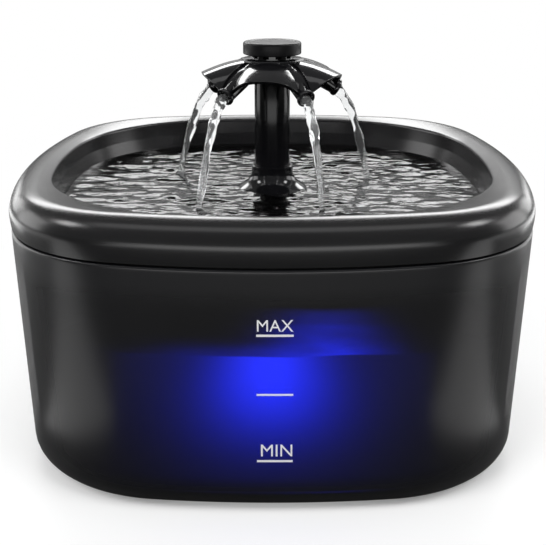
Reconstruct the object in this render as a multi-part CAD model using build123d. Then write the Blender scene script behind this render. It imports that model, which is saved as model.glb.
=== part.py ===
"""Pet water fountain: a smoky tank, a lift-off drinking tray, a submersible pump, a riser and a
five-armed spout head. Millimetres, +Z up, front towards -Y, origin at the middle of the base."""

from math import atan2, cos, degrees, pi, sin, sqrt
import os

from build123d import *

os.makedirs("parts", exist_ok=True)

# ---- clearances
GAP = 0.3  # between curved faces of pieces that move apart
RUNNING_FIT = 0.08  # radial, on a shaft or a spigot
NEST_GAP = 0.15  # between a piece and the pocket that holds it
PRESS_GAP = 0.02  # radial, where a sleeve is pushed on for good
CUT_MARGIN = 1.0  # how far a cutting solid runs past the face it opens

# ---- plan shape: four bowed sides joined by four round corners
TRAY_HALF = 100.0
SIDE_RADIUS = 246.0
CORNER_RADIUS = 54.8

# ---- tank
TANK_STANDOFF = 0.8  # how far the feet hold the tank's underside up
TANK_HEIGHT = 90.9  # from its underside to the ledge that carries the tray
TANK_STEP = 0.3  # how far the tank's top lies inside the tray's side
TANK_DRAFT = 4.1  # how far the tank's base lies inside its top
TANK_BASE_SIDE_RADIUS = 381.0
TANK_BASE_CORNER_RADIUS = 56.3
TANK_WALL = 2.6
TANK_FLOOR = 3.0
TANK_BASE_FILLET = 9.0
TONGUE_RISE = 4.0  # how far the rim band stands above the ledge
TONGUE_WALL = 2.0
TONGUE_DROP = 6.0  # how far the rim band reaches below the ledge
FOOT_RADIUS = 8.0
FOOT_RECESS = 1.5
FOOT_INSET = 34.0  # from the side of the base to a foot's centre
FOOT_CHAMFER = 0.4
NOTCH_WIDTH = 10.0
NOTCH_DEPTH = 8.5
GROMMET_FLANGE = 1.6
CORD_HOLE_RADIUS = 2.2

# ---- tray
TRAY_WALL = 2.2
SKIRT_TUCK = 0.5
SKIRT_TUCK_HEIGHT = 2.2
SKIRT_HEIGHT = 6.3  # from the ledge to where the rolled rim starts to curve inwards
ROLL_HEIGHT = 8.6
ROLL_WIDTH = 10.55  # from the tray's side to the crest
ROLL_STEPS = 6
CREST_SIDE_RADIUS = 265.0
CREST_CORNER_RADIUS = 40.0
CREST_LAND = 0.3
LIP_WIDTH = 4.75  # from the crest to the inner edge of the lip
LIP_DROP = 1.3
LIP_SIDE_RADIUS = 220.0
LIP_CORNER_RADIUS = 61.5
LIP_DEPTH = 6.3  # from the lip to the top of the shoulder
SHOULDER_HEIGHT = 5.0
SHOULDER_TOP_INSET = 0.5
SHOULDER_BOTTOM_INSET = 2.2
BOWL_DEPTH = 14.0  # from the shoulder to the floor
BOWL_FLOOR_INSET = 4.2
BOWL_FILLET = 5.0

# ---- riser
RISER_BORE = 5.2
RISER_TAIL_WALL = 1.0
RISER_STEP = 0.8  # how much wider the column is than its tail
RISER_HEIGHT = 73.7  # of the column, above the hub's step
RISER_CLEARANCE = 0.4  # between the tail and the pump's boss
RISER_CHAMFER = 0.35

# ---- filter pocket in the tray, its cover and its cartridge
COVER_RADIUS = 47.7
COVER_THICKNESS = 2.0
COVER_LEDGE = 1.7  # how far the cover overlaps the pocket's edge
POCKET_DEPTH = 14.0
POCKET_WALL = 2.0
DRAIN_COUNT = 12
DRAIN_WIDTH = 4.0
DRAIN_MARGIN = 6.0  # from a drain slot's outer end to the pocket's wall
DRAIN_HUB_MARGIN = 7.5  # from the hub to a drain slot's inner end
HUB_WALL = 2.2
HUB_DROP = 6.0  # below the pocket floor's underside
HUB_RISE = 3.0  # above the pocket floor
COLLAR_WALL = 1.0
COLLAR_HEIGHT = 23.1  # above the cover's plate
COLLAR_STRAIGHT = 5.6
BELL_PROFILE = (  # reach and drop from the foot of the collar's straight part
    (0.0, 0.0),
    (0.4, 1.0),
    (1.3, 2.0),
    (2.7, 2.8),
    (4.4, 3.5),
    (6.4, 4.6),
    (9.0, 8.0),
    (11.2, 12.4),
)
BELL_SPREAD = 12.7  # how far the bell widens from the collar to the plate
BELL_WALL = 1.2
COVER_SLOT_COUNT = 20
COVER_SLOT_WIDTH = 2.6
COVER_SLOT_MARGIN = 4.7  # from a slot's outer end to the cover's edge
COVER_SLOT_BELL_MARGIN = 4.0  # from the bell to a slot's inner end
FRAME_CLEARANCE = 0.8  # between the cartridge and the pocket's wall
FRAME_HUB_CLEARANCE = 1.7
FRAME_RIM = 1.7
FRAME_FLOOR = 1.4
FRAME_SPOKES = 6
FRAME_LIFT = 0.3  # between the cartridge and the pocket floor
POUCH_DROP = 1.0  # between the pouch and the cover
POUCH_ROUNDING = 2.3

# ---- spout head: five arms, five webs; drops are measured from the flange's top
ARM_COUNT = 5
WEB_AZIMUTH = -7.0  # of the front web, from the front, towards +X
FLANGE_RADIUS = 12.6
FLANGE_THICKNESS = 1.5
FLANGE_ARM_TURN = 16.0  # half the angle that the flange's side over an arm takes
ARM_HALF_WIDTH = 2.9
ARM_TUCK = 0.4  # how far the arms' tops start inside the flange's edge
ARM_PROFILE = ((0.0, 1.4), (5.4, 3.2), (10.2, 6.4), (13.4, 10.2), (14.4, 12.8))  # reach and drop
HEAD_WALL = 1.4
WEB_REACH = 15.6  # of a web's crest, from where the arms' tops start
WEB_CREST_DROP = 3.7  # of the crest's outer end, below its inner end
WEB_CURVE = 1.5  # how much the crest's slope grows outwards, as a power
WEB_CAMBER = 0.6  # of a web beside the flange
WEB_BITE = 0.4  # how deep a web's edge lies in an arm
WEB_RIDGE = 0.5  # how far a web's edge stands above an arm
HEAD_HUB_STEP = 1.6  # how much wider the hub is than the column
HEAD_HUB_DROP = 6.4
HEAD_SPIGOT_LENGTH = 15.0
HEAD_SPIGOT_WALL = 1.1
CHAMBER_DROP = 5.0
NOZZLE_ELBOW_REACH = 4.8  # beyond the dome's inner edge
NOZZLE_ELBOW_DROP = 7.0
NOZZLE_MOUTH_DROP = 12.3
NOZZLE_WALL = 0.8
NOZZLE_BORE = 2.2
NOZZLE_RIM_STEP = 0.55
NOZZLE_RIM_LENGTH = 1.6
NECK_WALL = 1.65
NECK_BORE = 6.2
NECK_HEIGHT = 2.1
NECK_WINDOWS = 10
NECK_WINDOW_WIDTH = 2.4
NECK_WINDOW_HEIGHT = 1.3
CAP_RADIUS = 11.4
CAP_EDGE = 3.0
CAP_CROWN = 1.7
CAP_STEM_WALL = 1.2
CAP_STEM_LENGTH = 5.0
CAP_EDGE_FILLET = 0.6

# ---- seal rings
SEAL_THICKNESS = 1.2
SEAL_BITE = 0.58  # how deep the cap's ring sits in its groove

# ---- pump rotor: its axis lies along Y
PUMP_X = -7.0
SHAFT_RADIUS = 1.0
BUSH_WALL = 1.6
BUSH_LENGTH = 2.4
BUSH_CLOSED_END = 0.8  # from a bush's outer end to the pin's end
ROTOR_STEM_WALL = 1.9
MAGNET_WALL = 3.3
ROTOR_GAP = 0.6  # between the magnet and the well
ROTOR_END_GAP = 0.8
IMPELLER_RADIUS = 10.3
IMPELLER_DISC = 1.3
BLADE_COUNT = 6
BLADE_HEIGHT = 5.4
BLADE_CLEARANCE = 1.9
BLADE_THICKNESS = 1.1
BLADE_SWEEP_RADIUS = 9.0

# ---- pump housing
PUMP_WALL = 2.5
PUMP_EDGE_RADIUS = 4.0
PUMP_INNER_EDGE = 1.0  # smallest edge radius inside the housing
PUMP_SIDE_ROOM = 2.0  # how much wider than deep the housing is about its axis
CUP_HEIGHT = 5.2
CUP_RADIUS = 6.5
CUP_LIP = 1.2
CUP_HOLLOW = 1.3
CUP_WAIST = 2.8
CUP_STEM_RADIUS = 1.8
CUP_STEM_LENGTH = 2.0
CUP_SPREAD = 12.5
CUP_FRONT = -23.0
CUP_REAR = -1.0
VOLUTE_FRONT = -4.0
VOLUTE_ROOM = 2.1  # between the blades and the volute's wall
VOLUTE_LEDGE = 0.85
VOLUTE_RING = 0.6  # the housing's ring round the volute cover
WELL_LENGTH = 19.0
WELL_WALL = 1.2
BOSS_RADIUS = 7.4
BOSS_HEIGHT = 2.6
SPIGOT_WALL = 1.3
SPIGOT_LENGTH = 11.4
SEAL_RISE = 6.9  # of the outlet's ring above the boss
GLAND_RADIUS = 4.0
GLAND_TOP_RADIUS = 3.1
GLAND_SEAT = 1.25  # the housing's ring round the gland, and how deep it sits
GLAND_HEIGHT = 7.0
GLAND_X = 4.0
GLAND_Y = -18.0

# ---- pump motor
CORE_SETBACK = 3.0  # behind the well's end
CORE_REAR_ROOM = 6.0  # in front of the volute
CORE_LEG_ROOM = 5.0  # from the well to a leg's outer side
CORE_LEG_WIDTH = 4.5
CORE_POLE_WIDTH = 9.0
CORE_LEG_DROP = 9.0  # of the legs' feet below the axis
CORE_BAR_THICKNESS = 4.2
COIL_ROOM = 2.25  # between the bobbin and the well
COIL_HEADROOM = 0.75
BOBBIN_WALL = 0.8
BOBBIN_END_GAP = 0.9
WINDING_DEPTH = 2.2
WINDING_SLACK = 0.15  # how far the winding lies inside the bobbin's flanges
POTTING_THICKNESS = 1.6
BOARD_THICKNESS = 1.6
LED_COUNT = 4
LED_PITCH = 7.0
LED_RISE = 14.0  # above the axis
LED_SIZE = (3.5, 1.6, 2.8)
LED_GAP = 0.75
WINDOW_THICKNESS = 1.6

# ---- pump covers, sponge and flow slide
VOLUTE_COVER_THICKNESS = 1.8
EYE_RADIUS = 6.2
EYE_HUB_WALL = 1.1
EYE_SPOKES = 3
EYE_SPOKE_WIDTH = 1.6
SKIRT_LENGTH = 4.0
SKIRT_WALL = 1.7
INTAKE_DEPTH = 14.0
INTAKE_SLOT_WIDTH = 3.0
INTAKE_SLOT_PITCH = 6.0
INTAKE_SLOTS = 4
INTAKE_SLOT_HEIGHT = 15.0
SLIDE_THICKNESS = 1.2
SLIDE_END = 2.0  # from the last slot to the slide's end
SLIDE_EDGE = 2.5  # from a slot's end to the slide's edge
RAIL_HEIGHT = 2.6
RAIL_LIP = 1.2
KNOB_WIDTH = 2.4
KNOB_LENGTH = 2.4
KNOB_MARGIN = 3.5
KNOB_ROOT = 0.6  # how deep the knob is rooted in the slide

# ---- plans that follow from the sizes above: half width, side radius, corner radius
ROLL_PLAN = (TRAY_HALF, SIDE_RADIUS, CORNER_RADIUS)
CREST_PLAN = (TRAY_HALF - ROLL_WIDTH, CREST_SIDE_RADIUS, CREST_CORNER_RADIUS)
LIP_PLAN = (TRAY_HALF - ROLL_WIDTH - LIP_WIDTH, LIP_SIDE_RADIUS, LIP_CORNER_RADIUS)
TANK_TOP_PLAN = tuple(size - TANK_STEP for size in ROLL_PLAN)
tank_top_half = TANK_TOP_PLAN[0]
tank_base_half = tank_top_half - TANK_DRAFT
TANK_BASE_PLAN = (tank_base_half, TANK_BASE_SIDE_RADIUS, TANK_BASE_CORNER_RADIUS)

# ---- heights of the tank and the tray
tank_floor_top = TANK_STANDOFF + TANK_FLOOR
tank_top = TANK_STANDOFF + TANK_HEIGHT
tongue_top = tank_top + TONGUE_RISE
tongue_inset = SKIRT_TUCK + TRAY_WALL + NEST_GAP - TANK_STEP
notch_middle = tank_top - NOTCH_DEPTH + NOTCH_WIDTH / 2
roll_base = tank_top + SKIRT_HEIGHT
crest_height = roll_base + ROLL_HEIGHT
lip_height = crest_height - LIP_DROP
shoulder_top = lip_height - LIP_DEPTH
shoulder_bottom = shoulder_top - SHOULDER_HEIGHT
bowl_floor = shoulder_bottom - BOWL_DEPTH
cover_bottom = bowl_floor - COVER_THICKNESS
pocket_floor = bowl_floor - POCKET_DEPTH
pocket_underside = pocket_floor - POCKET_WALL
hub_bottom = pocket_underside - HUB_DROP
hub_top = pocket_floor + HUB_RISE
riser_step = pocket_floor - POCKET_WALL / 2
riser_top = riser_step + RISER_HEIGHT
frame_bottom = pocket_floor + FRAME_LIFT
frame_floor_top = frame_bottom + FRAME_FLOOR
collar_top = bowl_floor + COLLAR_HEIGHT
collar_straight_bottom = collar_top - COLLAR_STRAIGHT

# ---- radii round the riser
riser_tail_radius = RISER_BORE + RISER_TAIL_WALL
riser_radius = riser_tail_radius + RISER_STEP
hub_radius = riser_radius + HUB_WALL + GAP
collar_radius = riser_radius + GAP + COLLAR_WALL
bell_radius = collar_radius + BELL_SPREAD
pocket_radius = COVER_RADIUS - COVER_LEDGE
frame_outer = pocket_radius - FRAME_CLEARANCE
frame_inner = hub_radius + FRAME_HUB_CLEARANCE
spigot_radius = RISER_BORE - GAP
spigot_bore = spigot_radius - SPIGOT_WALL
bore_seal_radius = RISER_BORE - RUNNING_FIT

# ---- places of the spout head and the cap
head_hub_bottom = riser_top + GAP
flange_top = head_hub_bottom + HEAD_HUB_DROP
head_hub_radius = riser_radius + HEAD_HUB_STEP
chamber_floor = flange_top - CHAMBER_DROP
head_spigot_bottom = head_hub_bottom - HEAD_SPIGOT_LENGTH
arm_start = FLANGE_RADIUS - ARM_TUCK
arm_points = [(arm_start + reach, flange_top - drop) for reach, drop in ARM_PROFILE]
nozzle_radius = NOZZLE_BORE + NOZZLE_WALL
nozzle_elbow = (arm_start + NOZZLE_ELBOW_REACH, flange_top - NOZZLE_ELBOW_DROP)
nozzle_mouth = (arm_points[-1][0], flange_top - NOZZLE_MOUTH_DROP)
neck_radius = NECK_BORE + NECK_WALL
cap_bottom = flange_top + NECK_HEIGHT
cap_edge_top = cap_bottom + CAP_EDGE
cap_seal_height = flange_top - FLANGE_THICKNESS / 2
cap_seal_radius = NECK_BORE - RUNNING_FIT
cap_stem_radius = cap_seal_radius - SEAL_THICKNESS + SEAL_BITE

# ---- places of the pump: across its axis
bush_radius = SHAFT_RADIUS + BUSH_WALL
rotor_stem_radius = SHAFT_RADIUS + ROTOR_STEM_WALL
magnet_radius = rotor_stem_radius + MAGNET_WALL
well_bore = magnet_radius + ROTOR_GAP
well_outer = well_bore + WELL_WALL
volute_radius = IMPELLER_RADIUS + VOLUTE_ROOM
volute_cover_radius = volute_radius + VOLUTE_LEDGE
skirt_inset = SKIRT_WALL + GAP
axis_to_base = skirt_inset + VOLUTE_RING + NEST_GAP + volute_cover_radius
pump_half_width = axis_to_base + PUMP_SIDE_ROOM
pump_bottom = tank_floor_top + CUP_HEIGHT
axis_height = pump_bottom + axis_to_base
coil_grow = NEST_GAP + BOBBIN_WALL + WINDING_DEPTH
bar_bottom = axis_height + well_outer + COIL_ROOM + coil_grow
bar_top = bar_bottom + CORE_BAR_THICKNESS
pump_top = bar_top + coil_grow + COIL_HEADROOM + PUMP_WALL
pump_middle_height = (pump_bottom + pump_top) / 2
boss_top = pump_top + BOSS_HEIGHT
spigot_top = boss_top + SPIGOT_LENGTH
outlet_seal_height = boss_top + SEAL_RISE
riser_bottom = boss_top + RISER_CLEARANCE
core_leg_outer = well_outer + CORE_LEG_ROOM
core_inner_half = core_leg_outer - CORE_LEG_WIDTH
bobbin_half_length = core_inner_half - BOBBIN_END_GAP

# ---- places of the pump: along its axis, from front to rear
well_end = VOLUTE_FRONT - WELL_LENGTH
potting_front = well_end - WELL_WALL - NEST_GAP - POTTING_THICKNESS
board_front = potting_front - BOARD_THICKNESS
window_back = board_front - LED_SIZE[1] - LED_GAP
pump_front = window_back - WINDOW_THICKNESS
core_front = well_end + CORE_SETBACK
core_rear = VOLUTE_FRONT - CORE_REAR_ROOM
magnet_front = well_end + BUSH_LENGTH + ROTOR_END_GAP
magnet_rear = VOLUTE_FRONT - ROTOR_END_GAP
disc_front = VOLUTE_FRONT + 2 * GAP
disc_rear = disc_front + IMPELLER_DISC
volute_cover_front = disc_rear + BLADE_HEIGHT + BLADE_CLEARANCE
pump_rear = volute_cover_front + VOLUTE_COVER_THICKNESS
housing_step = pump_rear - SKIRT_LENGTH
intake_rear = pump_rear + INTAKE_DEPTH
slide_front = intake_rear + GAP
slide_rear = slide_front + SLIDE_THICKNESS
rail_rear = slide_rear + GAP + RAIL_LIP
slide_length = (INTAKE_SLOTS - 1) * INTAKE_SLOT_PITCH + INTAKE_SLOT_WIDTH + 2 * SLIDE_END
slide_height = INTAKE_SLOT_HEIGHT + 2 * SLIDE_EDGE
slide_travel = INTAKE_SLOT_WIDTH
rotor_axis = Axis((PUMP_X, 0, axis_height), (0, 1, 0))
UPWARDS = (Align.CENTER, Align.CENTER, Align.MIN)


# ---- helpers
def plan_face(half, side_radius, corner_radius, height):
    """A rounded square with bowed sides, as a flat face at a height."""
    side_offset = side_radius - half
    reach = side_radius - corner_radius
    corner = (sqrt(2 * reach**2 - side_offset**2) - side_offset) / 2
    side_turn = degrees(atan2(corner, corner + side_offset))
    outline = Curve()
    for quarter in range(4):
        side = CenterArc((-side_offset, 0), side_radius, -side_turn, 2 * side_turn)
        bend = CenterArc((corner, corner), corner_radius, side_turn, 90 - 2 * side_turn)
        outline += Rot(0, 0, 90 * quarter) * side
        outline += Rot(0, 0, 90 * quarter) * bend
    return Pos(0, 0, height) * make_face(outline)


def inset_plan(plan, inset, height):
    """The plan (half width, side radius, corner radius) moved inwards, at a height."""
    return plan_face(*(size - inset for size in plan), height)


def stack(faces):
    """A solid with straight walls from each face to the next."""
    return loft(faces, ruled=True)


def column(radius, bottom, top):
    """An upright cylinder on the Z axis."""
    return Pos(0, 0, bottom) * Cylinder(radius, top - bottom, align=UPWARDS)


def pipe(outer, inner, bottom, top):
    """An upright tube on the Z axis."""
    return column(outer, bottom, top) - column(inner, bottom - CUT_MARGIN, top + CUT_MARGIN)


def rod_y(radius, front, rear):
    """A cylinder along the rotor axis."""
    axis = Pos(PUMP_X, front, axis_height) * Rot(-90, 0, 0)
    return axis * Cylinder(radius, rear - front, align=UPWARDS)


def block(x_range, y_range, z_range):
    """A box given by its lowest and highest corners."""
    spans = (x_range, y_range, z_range)
    middle = [(low + high) / 2 for low, high in spans]
    return Pos(*middle) * Box(*(high - low for low, high in spans))


def pump_block(inset, y_range):
    """A round-edged box on the pump's outline, moved inwards by the inset."""
    low = pump_bottom + inset
    high = pump_top - inset
    half = pump_half_width - inset
    radius = max(PUMP_EDGE_RADIUS - inset, PUMP_INNER_EDGE)
    outline = RectangleRounded(2 * half, high - low, radius)
    face = Pos(PUMP_X, y_range[0], (low + high) / 2) * Rot(90, 0, 0) * outline
    return extrude(face, y_range[1] - y_range[0], dir=(0, 1, 0))


def spun(points):
    """A solid turned about Z from a closed profile of (radius, height) points."""
    return revolve(Plane.XZ * make_face(Polyline(*points, close=True)), Axis.Z)


def slot_ring(count, width, inner, outer, bottom, top, start=0.0):
    """Radial round-ended slots as one cutting shape."""
    length = outer - inner
    face = Pos((inner + outer) / 2, 0) * SlotOverall(length, width)
    cutter = Pos(0, 0, bottom) * extrude(face, top - bottom)
    return [Rot(0, 0, start + 360 * index / count) * cutter for index in range(count)]


def seal_ring(radius, height):
    """A round rubber ring whose outer edge lies at the radius."""
    minor = SEAL_THICKNESS / 2
    return Pos(0, 0, height) * Torus(radius - minor, minor)


def group(solids):
    """Several separate solids kept as one node."""
    return Compound(children=list(solids))


# ---- tank
def foot_places():
    """Centres of the four feet."""
    reach = tank_base_half - FOOT_INSET
    return [(x, y) for x in (-reach, reach) for y in (-reach, reach)]


def notch_cutter(clearance, y_range, top):
    """The round-bottomed notch in the rear rim, made smaller all round by the clearance."""
    half = NOTCH_WIDTH / 2 - clearance
    upper = block((-half, half), y_range, (notch_middle, top))
    round_end = Pos(0, y_range[0], notch_middle) * Rot(-90, 0, 0) * Cylinder(
        half, y_range[1] - y_range[0], align=UPWARDS
    )
    below_top = block((-half, half), y_range, (notch_middle - half, top))
    return (upper + round_end) & below_top


def make_tank():
    """Open shell with drafted walls, a ledge for the tray and a tongue inside it."""
    outer = stack([plan_face(*TANK_BASE_PLAN, TANK_STANDOFF), plan_face(*TANK_TOP_PLAN, tank_top)])
    outer = fillet(outer.faces().sort_by(Axis.Z)[0].edges(), TANK_BASE_FILLET)
    band_bottom = tank_top - TONGUE_DROP
    tongue = extrude(inset_plan(TANK_TOP_PLAN, tongue_inset, band_bottom), tongue_top - band_bottom)
    inner_inset = tongue_inset + TONGUE_WALL
    cavity = stack(
        [
            inset_plan(TANK_BASE_PLAN, TANK_WALL, tank_floor_top),
            inset_plan(TANK_TOP_PLAN, TANK_WALL, band_bottom - TONGUE_WALL),
            inset_plan(TANK_TOP_PLAN, inner_inset, band_bottom),
            inset_plan(TANK_TOP_PLAN, inner_inset, tongue_top + CUT_MARGIN),
        ]
    )
    cavity = fillet(cavity.faces().sort_by(Axis.Z)[0].edges(), TANK_BASE_FILLET - TANK_WALL)
    shell = outer + tongue - cavity
    for x, y in foot_places():
        shell -= Pos(x, y, 0) * column(FOOT_RADIUS + NEST_GAP, 0, TANK_STANDOFF + FOOT_RECESS)
    rear = (tank_top_half - inner_inset - CUT_MARGIN, TRAY_HALF + CUT_MARGIN)
    return shell - notch_cutter(0, rear, tongue_top + CUT_MARGIN)


def make_feet():
    """Four soft discs in shallow recesses."""
    foot = column(FOOT_RADIUS, 0, TANK_STANDOFF + FOOT_RECESS)
    foot = chamfer(foot.faces().sort_by(Axis.Z)[0].edges(), FOOT_CHAMFER)
    return group(Pos(x, y, 0) * foot for x, y in foot_places())


def make_grommet():
    """Rubber plug in the notch, with the hole that a cord passes."""
    outer_face = tank_top_half - GAP
    inner_face = tank_top_half - tongue_inset - TONGUE_WALL - NEST_GAP
    plug = notch_cutter(NEST_GAP, (inner_face, outer_face), tank_top - NEST_GAP)
    flange = notch_cutter(-GROMMET_FLANGE, (inner_face - GROMMET_FLANGE, inner_face), tank_top - NEST_GAP)
    hole = Pos(0, inner_face - 2 * GROMMET_FLANGE, notch_middle) * Rot(-90, 0, 0) * Cylinder(
        CORD_HOLE_RADIUS, 4 * TANK_WALL + 2 * GROMMET_FLANGE, align=UPWARDS
    )
    return plug + flange - hole


# ---- tray
def roll_faces(wall):
    """Sections of the rolled rim, a quarter ellipse in height, moved inwards by a wall."""
    faces = []
    for step in range(ROLL_STEPS + 1):
        turn = pi / 2 * step / ROLL_STEPS
        share = cos(turn)
        sizes = [inner + (outer - inner - wall) * share for inner, outer in zip(CREST_PLAN, ROLL_PLAN)]
        height = roll_base + (crest_height - wall - roll_base) * sin(turn)
        faces.append(plan_face(*sizes, height))
    return faces


def bowl_faces(wall):
    """Sections of the bowl from its floor to the lip, moved outwards by a wall."""
    return [
        inset_plan(LIP_PLAN, BOWL_FLOOR_INSET - wall, bowl_floor - wall),
        inset_plan(LIP_PLAN, SHOULDER_BOTTOM_INSET - wall, shoulder_bottom),
        inset_plan(LIP_PLAN, SHOULDER_TOP_INSET - wall, shoulder_top),
        inset_plan(LIP_PLAN, -wall, lip_height),
    ]


def rim_block(wall, bottom):
    """The rim as a solid, from the skirt's lower edge to the crest."""
    skirt = stack(
        [
            inset_plan(ROLL_PLAN, SKIRT_TUCK + wall, bottom),
            inset_plan(ROLL_PLAN, wall, bottom + SKIRT_TUCK_HEIGHT),
            inset_plan(ROLL_PLAN, wall, roll_base),
        ]
    )
    return skirt + loft(roll_faces(wall))


def make_tray():
    """Rolled rim over a hollow skirt, a bowl, the filter pocket and the riser's hub."""
    bowl_outside = stack(bowl_faces(TRAY_WALL))
    bowl_outside = fillet(bowl_outside.faces().sort_by(Axis.Z)[0].edges(), BOWL_FILLET)
    hollow = rim_block(TRAY_WALL, tank_top) - bowl_outside
    skirt_opening = extrude(inset_plan(ROLL_PLAN, SKIRT_TUCK + TRAY_WALL, tank_top - CUT_MARGIN), CUT_MARGIN)
    body = rim_block(0, tank_top) - hollow - (skirt_opening - bowl_outside)
    body += bowl_outside
    body += column(pocket_radius + TRAY_WALL, pocket_underside, bowl_floor - TRAY_WALL / 2)
    body += column(hub_radius, hub_bottom, pocket_floor)
    bowl = stack(bowl_faces(0))
    bowl = fillet(bowl.faces().sort_by(Axis.Z)[0].edges(), BOWL_FILLET)
    body -= bowl
    body -= stack([plan_face(*LIP_PLAN, lip_height), inset_plan(CREST_PLAN, CREST_LAND, crest_height)])
    body -= column(pocket_radius, pocket_floor, bowl_floor + CUT_MARGIN)
    body -= column(COVER_RADIUS + GAP, cover_bottom, bowl_floor + CUT_MARGIN)
    body += column(hub_radius, pocket_floor - POCKET_WALL / 2, hub_top)
    body -= column(riser_tail_radius + GAP, hub_bottom - CUT_MARGIN, hub_top)
    body -= column(riser_radius + GAP, riser_step, hub_top + CUT_MARGIN)
    inner = hub_radius + DRAIN_HUB_MARGIN
    outer = pocket_radius - DRAIN_MARGIN
    span = (pocket_underside - CUT_MARGIN, pocket_floor + CUT_MARGIN)
    for cutter in slot_ring(DRAIN_COUNT, DRAIN_WIDTH, inner, outer, *span):
        body -= cutter
    return body


# ---- filter cover and cartridge
def bell_profile(wall):
    """Points of the bell from the plate up to the straight collar, moved inwards by a wall."""
    points = []
    for reach, drop in reversed(BELL_PROFILE):
        points.append((collar_radius + reach - wall, collar_straight_bottom - drop - wall / 2))
    return points


def make_filter_cover():
    """Slotted disc with a bell-shaped collar round the riser."""
    bore = riser_radius + GAP
    foot = [(0, cover_bottom), (bell_radius, cover_bottom), (bell_radius, bowl_floor)]
    outside = spun([*foot, *bell_profile(0), (collar_radius, collar_top), (0, collar_top)])
    below = cover_bottom - CUT_MARGIN
    inside_foot = [(0, below), (bell_radius - BELL_WALL, below)]
    inside = spun([*inside_foot, *bell_profile(BELL_WALL), (0, collar_straight_bottom)])
    collar_edge = outside.edges().filter_by(GeomType.CIRCLE).sort_by(Axis.Z)[-1]
    outside = fillet(collar_edge, COLLAR_WALL / 2)
    cover = column(COVER_RADIUS, cover_bottom, bowl_floor) + outside - inside
    cover -= column(bore, cover_bottom - CUT_MARGIN, collar_top + CUT_MARGIN)
    inner = bell_radius + COVER_SLOT_BELL_MARGIN
    outer = COVER_RADIUS - COVER_SLOT_MARGIN
    span = (below, bowl_floor + CUT_MARGIN)
    for cutter in slot_ring(COVER_SLOT_COUNT, COVER_SLOT_WIDTH, inner, outer, *span):
        cover -= cutter
    return cover


def make_filter_frame():
    """Cartridge frame: two rims joined by spokes, clipped under the cover."""
    frame = pipe(frame_outer, frame_outer - FRAME_RIM, frame_bottom, cover_bottom)
    frame += pipe(frame_inner + FRAME_RIM, frame_inner, frame_bottom, cover_bottom)
    inner = frame_inner + FRAME_RIM / 2
    outer = frame_outer - FRAME_RIM / 2
    spoke = block((inner, outer), (-FRAME_RIM, FRAME_RIM), (frame_bottom, frame_floor_top))
    for index in range(FRAME_SPOKES):
        frame += Rot(0, 0, 360 * index / FRAME_SPOKES) * spoke
    return frame


def make_filter_pouch():
    """Padded ring of filter cloth lying on the frame's spokes."""
    outer = frame_outer - FRAME_RIM - GAP
    inner = frame_inner + FRAME_RIM + GAP
    top = cover_bottom - POUCH_DROP
    pouch = pipe(outer, inner, frame_floor_top, top)
    return fillet(pouch.edges().filter_by(GeomType.CIRCLE), POUCH_ROUNDING)


# ---- riser
def make_riser():
    """Black column with a thinner tail that stands on the tray's hub."""
    riser = column(riser_radius, riser_step, riser_top) + column(riser_tail_radius, riser_bottom, riser_step)
    riser = chamfer(riser.faces().sort_by(Axis.Z)[0].edges(), RISER_CHAMFER)
    riser = chamfer(riser.faces().sort_by(Axis.Z)[-1].edges(), RISER_CHAMFER)
    return riser - column(RISER_BORE, riser_bottom - CUT_MARGIN, riser_top + CUT_MARGIN)


# ---- spout head
ARM_PITCH = 360 / ARM_COUNT


def from_front(azimuth):
    """Turn about Z from +X to an azimuth measured from the front, towards +X."""
    return Rot(0, 0, azimuth - 90)


def flange_face(height):
    """Ten-sided section of the flange: a short side over each arm, a longer one over each web."""
    corners = []
    for index in range(ARM_COUNT):
        arm = WEB_AZIMUTH + ARM_PITCH * (index + 0.5) - 90
        for turn in (arm - FLANGE_ARM_TURN, arm + FLANGE_ARM_TURN):
            corners.append(Vector(FLANGE_RADIUS, 0).rotate(Axis.Z, turn))
    return Pos(0, 0, height) * make_face(Polyline(*corners, close=True))


def arm_body():
    """The flat-topped body of one arm along +X, from the hub to the nozzle."""
    top = [(head_hub_radius / 2, arm_points[0][1]), *arm_points]
    under = [(reach - HEAD_WALL / 2, height - HEAD_WALL) for reach, height in top[::-1]]
    outline = Plane.XZ * make_face(Polyline(*top, *under, close=True))
    return extrude(outline, ARM_HALF_WIDTH, both=True)


def arc_band(edge, crest, wall):
    """A curved strip across +X: its outer arc passes (x, y, z) edges on both sides and an (x, z) crest."""
    x, half, z = edge
    top = Vector(crest[0], 0, crest[1])
    rise = top - Vector(x, 0, z)
    radius = (half**2 + rise.length**2) / (2 * rise.length)
    centre = top - rise.normalized() * radius
    outer = [Vector(x, -half, z), top, Vector(x, half, z)]
    inner = [centre + (point - centre) * ((radius - wall) / radius) for point in outer]
    sides = [Line(outer[2], inner[2]), Line(inner[0], outer[0])]
    return make_face(Curve() + [ThreePointArc(*outer), sides[0], ThreePointArc(*inner[::-1]), sides[1]])


def web():
    """A web along +X, vaulted between two arms, with a crest that hardly falls outwards."""
    half_pitch = pi / ARM_COUNT
    side = ARM_HALF_WIDTH - WEB_BITE
    inner_x = arm_start * cos(half_pitch) + side * sin(half_pitch)
    crest_top = arm_points[0][1] + WEB_RIDGE + WEB_CAMBER
    faces = []
    stations = arm_points[:-1]
    for reach, height in stations:
        share = (reach - arm_start) / (stations[-1][0] - arm_start)
        edge_x = reach * cos(half_pitch) + side * sin(half_pitch)
        edge_y = reach * sin(half_pitch) - side * cos(half_pitch)
        crest_x = inner_x + (arm_start + WEB_REACH - inner_x) * share
        crest_z = crest_top - WEB_CREST_DROP * share**WEB_CURVE
        faces.append(arc_band((edge_x, edge_y, height + WEB_RIDGE), (crest_x, crest_z), HEAD_WALL))
    return loft(faces)


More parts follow.
